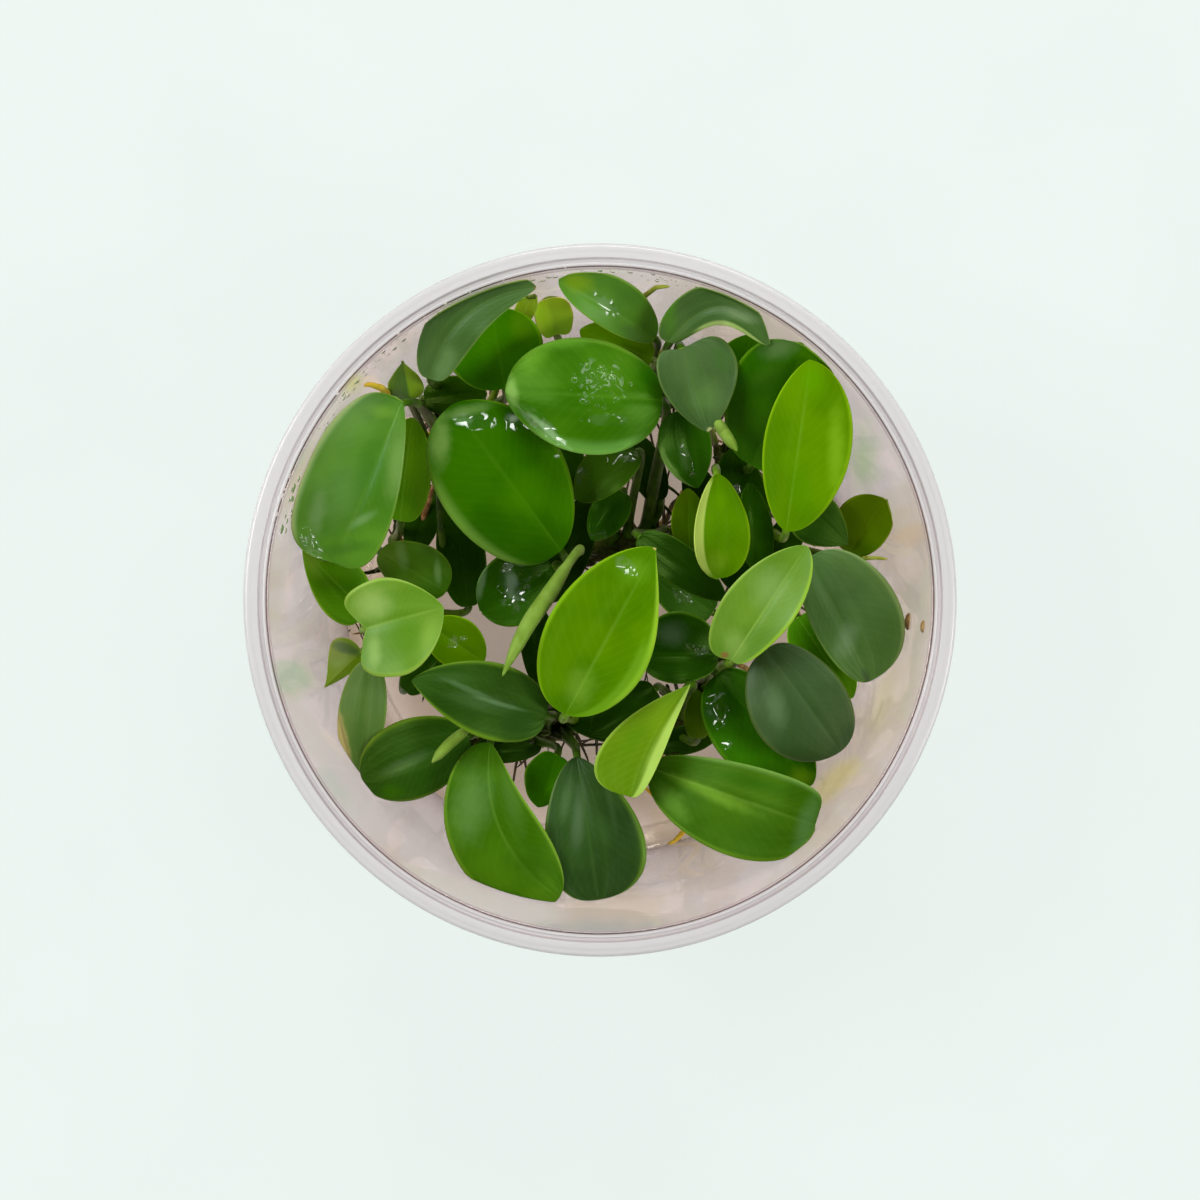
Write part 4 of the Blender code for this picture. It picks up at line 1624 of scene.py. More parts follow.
@dataclass(frozen=True)
class Drops:
    """A scatter of water drops on one leaf's blade, inside an oval of it."""

    leaf: str
    place: float
    across: float
    length: float
    width: float
    count: int
    smallest: float
    largest: float

    def build(self) -> Piece:
        """Makes the drops as one piece, each a flattened dome that sits on the blade.

        Returns:
            The finished piece.
        """
        leaf = next(item for item in LEAVES if item.name == self.leaf)
        chance = random.Random(self.leaf)
        beads = []
        for number in range(self.count):
            turn, reach = chance.uniform(0.0, 2.0 * math.pi), chance.random() ** 0.6
            place = self.place + self.length * reach * math.cos(turn)
            across = self.across + self.width * reach * math.sin(turn)
            middle = leaf.blade_point(place, across)
            ahead = leaf.blade_point(place + 0.02, across) - middle
            beside = leaf.blade_point(place, across + 0.04) - middle
            normal = beside.cross(ahead).normalized()
            normal = normal if normal.z > 0.0 else -normal
            size = self.smallest + (self.largest - self.smallest) * chance.random() ** 3
            beads.append(bead(f"{self.leaf}_drop_{number}", middle, normal, ahead, size))
        return gather(self.leaf + "_drops", beads, shared(WATER, "water"))


@dataclass(frozen=True)
class WallDrops:
    """Drops on the inside of the wall, between two angles and two heights.

    They are water, or small specks where a finish is given.
    """

    name: str
    turns: Span
    heights: Span
    count: int
    smallest: float
    largest: float
    finish: SkinFinish | None = None

    def build(self) -> Piece:
        """Makes the drops as one piece, each a flattened dome on the wall.

        Returns:
            The finished piece.
        """
        chance = random.Random(self.name)
        beads = []
        for number in range(self.count):
            turn, height = math.radians(chance.uniform(*self.turns)), chance.uniform(*self.heights)
            outward = Vector((math.cos(turn), math.sin(turn), 0.0))
            middle = outward * Pot.radius(height) + UP * height
            size = self.smallest + (self.largest - self.smallest) * chance.random() ** 2
            beads.append(bead(f"{self.name}_{number}", middle, -outward, UP, size))
        skin_name = self.name + " skin" if self.finish else "water"
        return gather(self.name, beads, shared(self.finish or WATER, skin_name))


@dataclass(frozen=True)
class SoftBox:
    """A lamp behind white cloth: its place and size in millimetres and its power in watts."""

    name: str
    place: Place
    size: Span
    power: float
    aim: Place = (0.0, 0.0, 45.0)

    def build(self) -> None:
        """Adds the lamp, facing the cup."""
        spot = Vector(self.place) * MM
        turn = (Vector(self.aim) * MM - spot).to_track_quat("-Z", "Y").to_euler()
        bpy.ops.object.light_add(type="AREA", location=spot, rotation=turn)
        lamp = bpy.context.object
        lamp.name = self.name
        lamp.data.shape = "RECTANGLE"
        lamp.data.size, lamp.data.size_y = self.size[0] * MM, self.size[1] * MM
        lamp.data.energy = self.power


SOFT_BOXES = (
    SoftBox("left soft box", (-480.0, 140.0, 560.0), (300.0, 380.0), 3.4),
    SoftBox("top soft box", (80.0, 500.0, 560.0), (420.0, 220.0), 2.8),
    SoftBox("right soft box", (500.0, -120.0, 560.0), (260.0, 340.0), 2.2),
)


@dataclass
class Studio:
    """The pale floor, the soft light and the camera straight above the cup."""

    frame_width: float = 167.83
    sensor: float = 36.0
    floor_size: float = 4000.0
    floor_drop: float = 0.05
    floor_colour: Colour = (235, 244, 240)
    floor_paint: Colour = (76, 80, 78)
    floor_glow: float = 0.875
    floor_roughness: float = 0.9
    floor_shine: float = 0.1
    mottle_scale: float = 30.0
    mottle_share: float = 0.04
    # shadow_under_cup is a painted shadow: it dims the floor's glow under the cup, between the
    # radii of cup_edge in metres.
    shadow_under_cup: float = 0.64
    cup_edge: Span = (0.03, 0.038)
    tent_turns: Span = (0.50, 0.86)
    tent_glow: Span = (0.75, 0.08)

    def camera(self) -> None:
        """Puts the camera on the cup's axis, with the rim at its size in the photograph."""
        bpy.ops.object.camera_add(location=(0.0, 0.0, EYE * MM), rotation=(0.0, 0.0, 0.0))
        camera = bpy.context.object
        camera.data.sensor_width = self.sensor
        camera.data.lens = self.sensor * (EYE - Pot.height) / self.frame_width
        bpy.context.scene.camera = camera

    def floor(self) -> None:
        """Lays the pale floor, whose glow is dimmed under the cup as a painted shadow."""
        bpy.ops.object.select_all(action="DESELECT")
        bpy.ops.mesh.primitive_plane_add(size=self.floor_size * MM,
                                         location=(0.0, 0.0, -self.floor_drop * MM))
        ground = bpy.context.object
        ground.name = "floor"
        sheet = Sheet("pale floor")
        bright = linear(self.floor_colour)
        share = sheet.times(sheet.clouds(self.mottle_scale), self.mottle_share)
        away = sheet.length(sheet.own_place())
        inputs = {
            "Base Color": sheet.blend(share, linear(self.floor_paint), bright),
            "Roughness": self.floor_roughness,
            "Specular IOR Level": self.floor_shine,
            "Emission Color": bright,
            "Emission Strength": sheet.ramp(away, *self.cup_edge, self.floor_glow * self.shadow_under_cup,
                                            self.floor_glow),
        }
        ground.data.materials.append(sheet.finish(sheet.surface(inputs)))

    def sky(self) -> None:
        """A white tent round the cup, darker straight above, where the camera looks through."""
        world = bpy.data.worlds.new("white tent")
        bpy.context.scene.world = world
        world.use_nodes = True
        nodes, links = world.node_tree.nodes, world.node_tree.links
        nodes.clear()
        where = nodes.new("ShaderNodeTexCoord")
        parts = nodes.new("ShaderNodeSeparateXYZ")
        ramp = nodes.new("ShaderNodeMapRange")
        ramp.interpolation_type = "SMOOTHSTEP"
        spans = ("From Min", "From Max", "To Min", "To Max")
        for name, value in zip(spans, (*self.tent_turns, *self.tent_glow)):
            ramp.inputs[name].default_value = value
        glow = nodes.new("ShaderNodeBackground")
        out = nodes.new("ShaderNodeOutputWorld")
        links.new(where.outputs["Generated"], parts.inputs[0])
        links.new(parts.outputs[2], ramp.inputs["Value"])
        links.new(ramp.outputs[0], glow.inputs["Strength"])
        links.new(glow.outputs[0], out.inputs["Surface"])

    def build(self) -> None:
        """Sets up the floor, the light, the camera and the colour view."""
        self.floor()
        self.sky()
        for box in SOFT_BOXES:
            box.build()
        self.camera()
        bpy.context.scene.view_settings.view_transform = "Standard"
        bpy.context.scene.view_settings.look = "None"


RHIZOMES = {stem.name: stem for stem in (
    Rhizome("centre", (-7.5, 5.5), (10.0, 10.5), 2.0, (
        Root(0.1, ((-9, 2, 10), (-14, -2, 6))),
        Root(0.5, ((2, 3, 9), (4, -3, 5))),
        Root(0.9, ((11, 14, 10), (14, 19, 6))),
        Root(0.9, ((9.3, 17.3, 18), (12.4, 15.3, 17)), 0.45, OLD_STALK),
        Root(0.8, ((8.3, 15.0, 18.5), (11.2, 12.4, 17.5)), 0.45, OLD_STALK),
    )),
    Rhizome("lower", (-21.0, -21.0), (-3.0, -19.0), 2.1, (
        Root(0.15, ((-22, -17, 9), (-20, -10, 5))),
        Root(0.6, ((-9, -14, 9), (-12, -8, 5))),
        Root(0.9, ((-3, -25, 10), (0, -31, 6))),
        Root(0.05, ((-22.5, -25.5, 14.6), (-22.0, -28.0, 14.3)), 0.35, TAN_ROOT),
    )),
    Rhizome("top", (0.0, 32.5), (15.0, 30.0), 1.9, (
        Root(0.1, ((-1, 29, 9), (-6, 26, 5))),
        Root(0.8, ((14, 26, 9), (19, 24, 5))),
        Root(0.5, ((8.6, 36.5, 28), (5.2, 42.0, 44), (6.0, 43.0, 52), (10.2, 45.6, 57)), 0.75,
             GREEN_ROOT),
    )),
    Rhizome("upper_left", (-26.0, 23.5), (-16.0, 29.0), 1.9, (
        Root(0.2, ((-25, 20, 9), (-21, 16, 5))),
        Root(0.8, ((-14, 26, 9), (-9, 22, 5))),
        Root(0.1, ((-30, 27, 28), (-30.6, 29.6, 46), (-31.6, 30.3, 53.5), (-33.8, 30.6, 55)), 0.8,
             YELLOW_ROOT),
    )),
    Rhizome("left", (-31.0, 8.5), (-29.0, -8.5), 1.9, (
        Root(0.2, ((-27, 7, 9), (-22, 7, 5))),
        Root(0.8, ((-26, -8, 9), (-24, -14, 5))),
        Root(0.6, ((-33, -4.5, 24), (-36.5, -5.0, 30)), 0.35, TAN_ROOT),
        Root(0.0, ((-27.5, 8.6, 24), (-24.3, 17.2, 33)), 0.9, TAN_ROOT),
        Root(0.1, ((-23.5, 5.0, 26), (-23.4, 14.5, 38), (-23.0, 17.5, 42)), 0.75, STALK),
        Root(0.2, ((-27.0, 4.0, 21), (-24.0, 2.5, 24), (-17.5, 0.5, 25)), 0.9, OLD_STALK),
    )),
    Rhizome("lower_right", (20.5, -7.5), (8.0, -23.0), 2.0, (
        Root(0.1, ((24, -11, 9), (29, -10, 5))),
        Root(0.6, ((19, -20, 9), (25, -23, 5))),
        Root(0.9, ((9, -28, 11), (11, -33, 7)), 0.6),
        Root(0.97, ((6.3, -27.5, 16), (11.3, -32.4, 15)), 0.4, YELLOW_ROOT),
        Root(1.0, ((9.0, -29.0, 17), (13.2, -33.4, 16.4), (10.2, -37.2, 15.4)), 0.8, YELLOW_ROOT),
    )),
    Rhizome("right", (26.0, 2.0), (17.5, 23.5), 2.0, (
        Root(0.1, ((29, 0, 9), (32, -5, 5))),
        Root(0.9, ((22, 25, 9), (27, 23, 5))),
        Root(0.2, ((33, 5.5, 30), (38.3, 6.05, 43), (41.4, 5.9, 45)), 0.55, GREEN_ROOT),
    )),
)}

LEAVES = (
    Leaf("upper_left_outer", "upper_left", 0.6, (-24.1, 31.4, 55.5), (-9.0, 43.8, 60),
         (3.7, 1.5, 0.5, 0.6), (3.7, 0.2, 0.4, 0.75), Tone.PAINTED_SHEEN, rise=(3, 2), sweep=3.3,
         lean=(0.5, 1.0), marks=(
             Patch((422, 335), (12, 34), -20, (44, 76, 14), 0.8, 0.8),
             # Painted sheen: the pale grey-green oval below.
             Patch((444, 366), (12, 26), -25, (98, 134, 74), 0.5, 0.9),
             Patch((538, 289), (5, 4), 0, BROWN, 0.8),
         )),
    Leaf("upper_left_inner", "upper_left", 1.0, (-13.6, 30.4, 46), (-15.5, 41.4, 52),
         (7.5, -0.4, 0.5, 0.5), (6.5, 0.0, 0.5, 0.5), Tone.GRASS, light=1.48, marks=(
             Patch((522, 328), (16, 20), 30, (92, 146, 10), 0.6, 0.9),
         )),
    Leaf("top_small_upright", "top", 0.0, (-6.3, 38.3, 44), (-7.4, 42.9, 50),
         (2.5, 0.4, 0.3, 0.25), (3.0, 0.4, 0.3, 0.25), Tone.GOLDEN, stalk=0.6, light=1.85,
         rib=0.1),
    Leaf("top_bright", "top", 0.33, (7.9, 37.4, 50), (-5.8, 44.9, 59.5), (2.7, 0.0, 0.5, 0.6),
         (4.5, 1.7, 0.75, 0.75), Tone.BRIGHT, rise=(3, 3), marks=(
             Patch((578, 284), (20, 14), -20, (104, 140, 0), 0.8, 0.9),
             Patch((632, 332), (16, 10), -30, (56, 92, 30), 0.7, 0.9),
             Patch((606, 306), (18, 8), -40, None, 0.9, 0.6, 0.5),
         )),
    Leaf("top_tucked", "top", 0.17, (7.4, 34.6, 47), (-2.9, 38.5, 50), (3.4, -0.4, 0.5, 0.7),
         (3.4, -0.6, 0.5, 0.7), Tone.LIME),
    Leaf("top_centre", "centre", 0.83, (8.9, 28.4, 53), (-13.5, 29.5, 53.5),
         (8.3, -1.6, 0.45, 0.6), (8.2, -1.2, 0.5, 0.45), Tone.CANOPY, rise=(4, 3), stalk=1.1,
         marks=(
             # Painted sheen: the paler rolled left edge and the pale ovals on the left part;
             # painted highlight: the whitish streak by the wet edge.
             Band(-1, 0.8, (92, 140, 62), 0.6, 0.15, 0.8, 50),
             Patch((528, 352), (22, 26), 20, (92, 142, 36), 0.7, 1.0),
             Patch((560, 342), (60, 10), 6, (92, 148, 42), 0.5, 1.0),
             Patch((512, 392), (8, 22), 8, (116, 152, 76), 0.7, 0.9),
             Patch((650, 372), (20, 24), 0, (30, 92, 0), 0.7, 1.0),
             Patch((598, 378), (30, 22), 0, None, 0.16, 0.6, 0.6),
             wet((540, 424), (38, 8), -42, 1.0, 0.3),
             Patch((548, 430), (34, 4), -42, (128, 168, 110), 0.6, 0.8, 0.4),
             wet((610, 420), (30, 6), 0, 0.3, 0.6),
         )),
    Leaf("centre_left_large", "centre", 0.17, (-5.6, 7.1, 47), (-21.1, 27.8, 51),
         (9.8, -1.3, 0.4, 0.4), (8.7, -0.6, 0.7, 0.65), Tone.GRASS, rise=(1.5, 1.5), curl=2.4,
         stalk=1.0, lean=(0.3, -1.0), rib=0.5, marks=(
             # Painted sheen: the pale left band and the pale ovals; painted highlights: the whitish
             # spots by the wet film.
             Band(-1, 0.86, (98, 134, 52), 0.6, 0.1, 0.7, 30),
             Patch((440, 442), (14, 36), -4, (102, 134, 62), 0.75, 1.0),
             Patch((466, 412), (34, 8), 14, (96, 130, 64), 0.7, 1.0),
             Patch((520, 500), (30, 26), 0, (56, 106, 0), 0.5, 1.0),
             wet((474, 421), (26, 9), -6),
             Patch((462, 421), (12, 5), -4, (96, 134, 80), 0.6, 0.8, 0.6),
             Patch((514, 419), (7, 5), 40, (150, 176, 140), 0.7, 0.8, 0.5),
             wet((514, 421), (12, 11)),
             wet((542, 440), (24, 8), -45, 0.9, 0.5),
         )),
    Leaf("left_large", "upper_left", 0.3, (-28.0, 28.0, 55), (-37.5, 5.1, 52),
         (5.1, -0.5, 0.8, 0.3), (9.1, 2.5, 0.35, 0.25), Tone.BRIGHT, rise=(2, 2), stalk=1.0,
         lean=(2.5, -1.5), rib=0.3, marks=(
             # Painted sheen: the three pale bluish ovals; painted highlights: the whitish streak
             # and the WHITISH right margin.
             Patch((398, 462), (16, 50), -8, (122, 156, 80), 0.45, 1.0),
             Patch((344, 495), (24, 50), -20, (98, 142, 70), 0.35, 1.0),
             Patch((318, 512), (12, 34), -12, (108, 140, 84), 0.5, 1.0),
             Patch((345, 548), (36, 10), 8, (52, 98, 14), 0.7, 1.0),
             Patch((372, 470), (20, 44), -22, (52, 104, 18), 0.55, 1.0),
             Patch((362, 520), (22, 6), 30, (130, 166, 112), 0.3, 1.0),
             Patch((384, 412), (24, 10), -12, (112, 158, 44), 0.35, 1.0),
             Band(1, 0.93, WHITISH, 0.5, 0.1, 0.9),
             wet((312, 548), (10, 16), 35, 0.9, 0.5),
         )),
    Leaf("left_small_folded", "upper_left", 0.0, (-27.3, 28.6, 46), (-28.1, 33.9, 51.5),
         (2.9, -1.6, 0.2, 1.0), (2.3, -1.4, 0.2, 1.0), Tone.PAINTED_SHEEN, curl=1.0, stalk=0.6, light=1.5,
         marks=(
             Band(1, 0.05, (138, 178, 30), 0.95),
         )),
    Leaf("left_olive", "left", 0.0, (-29.0, 11.6, 40), (-27.0, 26.2, 45), (4.0, 0.0, 0.5, 0.6),
         (3.8, 0.2, 0.4, 0.6), Tone.MEADOW, light=1.5),
    Leaf("left_dark_round", "left", 0.17, (-31.9, 7.0, 40), (-22.2, 1.2, 43),
         (4.5, -0.8, 0.55, 0.4), (3.4, -0.5, 0.5, 0.5), Tone.MEADOW, light=0.86, marks=(
             # Painted sheen: both pale ovals.
             Patch((402, 556), (8, 20), 12, (92, 124, 66), 0.5, 0.9),
             Patch((438, 572), (5, 16), 5, (92, 124, 68), 0.6, 0.9),
         )),
    Leaf("left_lime_heart", "left", 0.5, (-33.0, -4.0, 54), (-22.2, -1.0, 55),
         (6.4, 0.6, 0.3, 0.75), (7.8, 0.6, 0.3, 0.65), Tone.PALE, lobe=2.4, curl=2.0, marks=(
             # Painted sheen: the two whitish ovals on the left lobe.
             Patch((372, 604), (24, 22), 0, (146, 172, 92), 0.5, 1.0),
             Patch((402, 634), (26, 26), 0, (74, 122, 0), 0.6, 1.0),
             Patch((374, 652), (10, 24), 0, (140, 174, 84), 0.5, 1.0),
             Patch((430, 634), (12, 22), -20, (122, 158, 56), 0.5, 1.0),
         )),
    Leaf("left_pointed", "left", 0.34, (-33.7, -1.7, 46), (-42.6, 7.3, 48), (4.2, -0.4, 0.35, 0.9),
         (4.0, -0.4, 0.5, 0.7), Tone.MEADOW, light=1.4, marks=(
             Patch((312, 560), (10, 26), 20, (98, 138, 40), 0.6, 1.0),
         )),
    Leaf("left_low_folded", "left", 0.8, (-34.5, -7.5, 40), (-40.2, -12.8, 38),
         (1.2, -0.5, 0.5, 1.0), (4.1, -1.5, 0.6, 1.5), Tone.GOLDEN, curl=1.0, stalk=0.6,
         light=1.08, marks=(
             Patch((346, 648), (20, 8), -20, (44, 88, 10), 0.9, 0.8),
             Patch((320, 688), (5, 6), 0, BROWN, 0.9),
         )),
    Leaf("lower_left_yellowed", "left", 1.0, (-33.0, -8.9, 46), (-34.7, -25.7, 42),
         (3.0, 0.3, 0.5, 0.7), (4.0, -1.4, 0.5, 0.5), Tone.PAINTED_SHEEN, light=1.28, marks=(
             Patch((360, 744), (16, 34), 0, (56, 96, 10), 0.6, 1.0),
             Patch((341, 738), (8, 44), 12, (176, 178, 104), 0.85, 0.8),
             Patch((345, 742), (2, 40), 14, (104, 84, 40), 0.5, 0.8),
         )),
    Leaf("lower_left_dark", "lower", 0.0, (-19.0, -19.7, 46), (-34.3, -26.0, 43.5),
         (5.6, -0.5, 0.5, 0.45), (5.9, -0.5, 0.5, 0.45), Tone.MOSS, rise=(1, 2), light=1.12,
         marks=(
             Band(1, 0.9, (92, 128, 20), 0.7),
             Patch((418, 728), (34, 12), 14, (26, 62, 0), 0.7, 1.0),
             # Painted sheen: the grey-green oval below.
             Patch((404, 764), (34, 9), 26, (80, 110, 64), 0.5, 1.0),
             Patch((392, 792), (16, 12), 0, (44, 92, 0), 0.8, 1.0),
         )),
    Leaf("centre_left_dark", "lower", 0.7, (-7.7, -16.4, 51), (-26.7, -11.4, 54.5),
         (5.4, 0.3, 0.5, 0.9), (5.5, -0.6, 0.5, 0.75), Tone.MOSS, stalk=1.0, light=0.92, marks=(
             # Painted sheen: the pale grey-green ovals and streaks.
             Patch((482, 702), (44, 12), -12, (72, 100, 58), 0.35, 1.0),
             Patch((450, 678), (30, 8), 0, (66, 98, 50), 0.3, 1.0),
             Patch((520, 722), (30, 18), 0, (26, 54, 14), 0.7, 1.0),
             Patch((470, 690), (40, 4), -24, (88, 118, 78), 0.4, 0.8),
             Patch((500, 704), (30, 3), -16, (92, 122, 84), 0.4, 0.8),
             Band(-1, 0.9, (96, 132, 24), 0.7, 0.3, 1.0),
             Band(1, 0.92, (92, 128, 30), 0.6, 0.3, 1.0),
         )),
    Leaf("left_inner_bright", "left", 0.66, (-24.3, -4.0, 42), (-16.8, -9.0, 41),
         (3.9, 0.0, 0.5, 0.6), (3.5, 0.0, 0.5, 0.6), Tone.LIME, stalk=0.7, light=1.05, marks=(
             wet((453, 643), (8, 5), 50),
             wet((464, 638), (4, 3)),
         )),
    Leaf("centre_glossy", "centre", 0.0, (-6.9, 4.6, 40), (-17.1, -1.7, 42), (5.0, 0.8, 0.5, 0.5),
         (5.5, 0.8, 0.5, 0.5), Tone.DEEP, stalk=0.8, marks=(
             # Painted highlights: the pale ovals by the wet film.
             Patch((482, 582), (5, 24), -12, (104, 132, 90), 0.6, 0.8),
             wet((514, 584), (16, 28)),
             Patch((511, 582), (7, 17), 0, (122, 148, 118), 0.6, 0.8, 0.6),
             wet((540, 570), (10, 5), 30),
         )),
    Leaf("centre_bright", "lower", 1.0, (-4.8, -16.2, 54), (7.9, 7.3, 58), (8.7, 0.5, 0.5, 0.65),
         (6.85, 0.8, 0.75, 1.15), Tone.FRESH, rise=(1.5, 1.5), stalk=1.1, marks=(
             Band(1, 0.88, (132, 170, 44), 0.7, 0.2, 0.95, 30),
             Band(1, 0.7, (104, 150, 30), 0.5, 0.05, 0.5),
             Patch((634, 570), (22, 18), 0, (98, 150, 30), 0.4, 1.0),
             Patch((580, 688), (20, 26), -20, (118, 158, 50), 0.4, 1.0),
             Patch((656, 547), (4, 4), 0, (196, 176, 110), 0.9),
             wet((626, 566), (14, 8), -40, 0.7, 0.6),
         )),
    Leaf("bottom_dark", "lower", 0.85, (-3.3, -22.5, 46), (-0.2, -43.0, 46.8),
         (7.9, -0.4, 0.8, 0.4), (6.4, 0.2, 0.65, 0.4), Tone.FOREST, rise=(1.5, 1.5), stalk=0.9,
         ruffle=0.2, light=0.94, rib=0.6, marks=(
             # Painted sheen: the three grey-green streaks.
             Patch((578, 820), (9, 44), -4, (80, 106, 72), 0.5, 1.0),
             Patch((566, 800), (8, 30), -10, (74, 104, 58), 0.5, 1.0),
             Patch((610, 800), (5, 40), 12, (58, 88, 40), 0.5, 1.0),
             Band(-1, 0.92, (96, 140, 24), 0.7, 0.3, 1.0),
         )),
    Leaf("bottom_left", "lower", 0.35, (-15.7, -20.5, 48), (-5.8, -42.6, 48),
         (5.6, -0.3, 0.8, 0.5), (7.6, -0.6, 0.55, 0.55), Tone.MEADOW, rise=(2, 2.5), sweep=-3.7,
         stalk=1.0, rib=0.5, marks=(
             Patch((472, 805), (26, 50), -10, (98, 136, 70), 0.45, 1.0),
             Patch((512, 800), (12, 44), 16, (80, 116, 48), 0.4, 1.0),
             Patch((530, 862), (36, 26), -30, (36, 76, 4), 0.6, 1.0),
             Patch((500, 790), (4, 44), 6, (54, 92, 8), 0.4, 1.0),
             Band(-1, 0.94, (120, 160, 50), 0.6),
         )),
    Leaf("bottom_wavy", "lower", 0.52, (-6.2, -22.6, 40), (-9.0, -30.0, 41), (3.0, 0.0, 0.5, 0.7),
         (3.6, 0.0, 0.5, 0.7), Tone.GRASS, wave=0.35, stalk=0.7, light=1.45, ruffle=0.4),
    Leaf("bottom_lime_folded", "lower_right", 0.66, (12.8, -12.0, 50), (4.3, -28.0, 52.5),
         (2.2, 1.6, 0.9, 0.45), (6.3, -0.8, 1.15, 0.3), Tone.SPRING, sweep=-1.1, curl=1.0,
         lean=(0.0, -1.5), rib=0.0, marks=(
             Patch((662, 742), (8, 44), -30, (150, 182, 72), 0.6, 1.0),
             Patch((632, 740), (10, 30), -34, (76, 122, 0), 0.4, 1.0),
             Band(-1, 0.45, (158, 190, 84), 0.85, 0.0, 1.0, 0, 0.15),
         )),
    Leaf("bottom_right_large", "lower_right", 1.0, (7.3, -24.1, 47), (30.5, -31.9, 54),
         (5.3, -0.4, 0.42, 0.15), (8.0, 1.5, 0.55, 0.4), Tone.MEADOW, rise=(2, 2), stalk=1.0,
         light=0.9, rib=0.7, marks=(
             Patch((712, 794), (60, 9), -24, (104, 146, 40), 0.6, 1.0),
             Patch((752, 782), (50, 10), -14, (30, 78, 0), 0.6, 1.0),
             Patch((672, 802), (14, 30), 40, (100, 144, 50), 0.45, 1.0),
             # Painted sheen: the bluish oval at the right end.
             Patch((806, 822), (14, 40), -18, (80, 120, 66), 0.45, 1.0),
             Band(-1, 0.9, (104, 142, 68), 0.55, 0.2, 0.95, 25),
         )),
    Leaf("right_low_dark", "lower_right", 0.18, (23.7, -7.1, 50), (34.3, -21.7, 49.5),
         (6.0, -0.4, 0.5, 0.45), (8.0, -1.2, 0.5, 0.45), Tone.PAINTED_SHEEN, rise=(1, 2), curl=2.4,
         light=0.77, rib=0.55, marks=(
             Patch((846, 740), (14, 34), -38, (28, 58, 8), 0.85, 1.0),
             Patch((800, 754), (34, 9), -14, (30, 60, 6), 0.85, 1.0),
             # Painted sheen: the pale grey-green oval.
             Patch((776, 706), (14, 30), 14, (86, 112, 72), 0.5, 1.0),
         )),
    Leaf("right_grey", "right", 0.2, (29.6, 6.0, 51), (38.5, -11.6, 50.5), (8.8, 0.0, 0.45, 0.4),
         (4.0, 0.0, 0.5, 0.5), Tone.PAINTED_SHEEN, rise=(1, 1.5), marks=(
             # Painted sheen: the pale grey-green oval and the bluish left margin.
             Patch((846, 640), (14, 26), -20, (98, 124, 84), 0.5, 1.0),
             Patch((866, 676), (5, 12), 20, (34, 60, 20), 0.8, 0.9),
             Patch((828, 580), (20, 22), 0, (60, 96, 40), 0.5, 1.0),
             Band(-1, 0.95, (116, 140, 84), 0.5),
         )),
    Leaf("right_light", "lower_right", 0.3, (18.7, -8.5, 54), (29.0, 7.6, 59),
         (5.9, 0.4, 0.4, 0.7), (4.1, 0.9, 0.65, 0.6), Tone.PALE, rise=(1.5, 1), lobe=1.4,
         light=0.98, rib=0.5, marks=(
             Patch((770, 588), (26, 30), 0, (122, 156, 84), 0.5, 1.0),
             Patch((735, 645), (16, 20), 0, (140, 174, 84), 0.4, 1.0),
             Band(1, 0.88, (132, 172, 30), 0.8, 0.1, 0.95),
             Patch((725, 655), (5, 4), 0, BROWN, 0.9),
             Patch((797, 537), (5, 4), 0, (186, 176, 110), 0.8),
         )),
    Leaf("right_lime", "right", 0.52, (26.4, 9.8, 54), (29.5, 33.7, 60), (4.95, 0.6, 0.75, 0.75),
         (7.5, 0.2, 0.6, 0.55), Tone.LIME, rib=0.3, marks=(
             Patch((836, 452), (12, 56), 0, (118, 162, 26), 0.6, 1.0),
             Patch((800, 486), (18, 40), 14, (72, 126, 0), 0.5, 1.0),
             Patch((812, 382), (18, 22), 0, (84, 142, 0), 0.5, 1.0),
         )),
    Leaf("upper_right_dark", "right", 0.9, (21.8, 19.4, 46), (28.8, 35.6, 59),
         (7.8, 0.0, 0.5, 0.35), (8.6, 2.0, 0.5, 0.45), Tone.GRASS, rise=(2, 2), light=1.04, marks=(
             # Painted sheen: the greyish oval.
             Patch((778, 350), (26, 16), 20, (84, 112, 62), 0.7, 1.0),
             Patch((766, 376), (26, 14), 40, (60, 104, 18), 0.5, 1.0),
             Patch((836, 372), (8, 36), -20, (60, 104, 30), 0.6, 1.0),
         )),
    Leaf("top_heart", "top", 0.66, (11.6, 35.3, 57), (15.3, 23.8, 55), (6.9, -0.3, 0.3, 0.75),
         (4.5, -0.3, 0.3, 0.75), Tone.PAINTED_SHEEN, lobe=0.9, light=0.88, marks=(
             # Painted sheen: the pale oval.
             Patch((706, 398), (26, 26), 0, (88, 128, 56), 0.35, 1.0),
             Patch((722, 358), (14, 18), 0, (44, 84, 12), 0.7, 1.0),
             Patch((692, 372), (12, 26), 0, (58, 92, 30), 0.5, 1.0),
             Patch((710, 430), (4, 4), 0, (170, 176, 110), 0.8),
         )),
    Leaf("top_small_dark", "top", 0.82, (11.7, 26.9, 48), (14.0, 16.1, 45), (3.3, 0.8, 0.5, 0.8),
         (4.3, 0.8, 0.5, 0.8), Tone.DEEP, light=1.15, marks=(
             # Painted sheen: the pale right band and the pale streak by the wet film.
             Band(1, 0.82, (104, 138, 64), 0.7, 0.4, 1.0, 50),
             Patch((683, 455), (6, 22), 10, (72, 108, 50), 0.6, 0.9),
             wet((688, 462), (5, 18), 20, 0.9),
         )),
    Leaf("centre_right_lime", "right", 0.8, (16.7, 18.0, 50), (17.1, 3.1, 49),
         (4.5, 0.0, 0.75, 0.5), (3.5, 1.6, 0.8, 0.5), Tone.LIME, rib=0.1, marks=(
             Band(1, 0.62, (176, 198, 92), 0.9, 0.1, 0.92, 70, 0.05),
             Patch((718, 500), (12, 16), 0, (84, 130, 0), 0.6, 1.0),
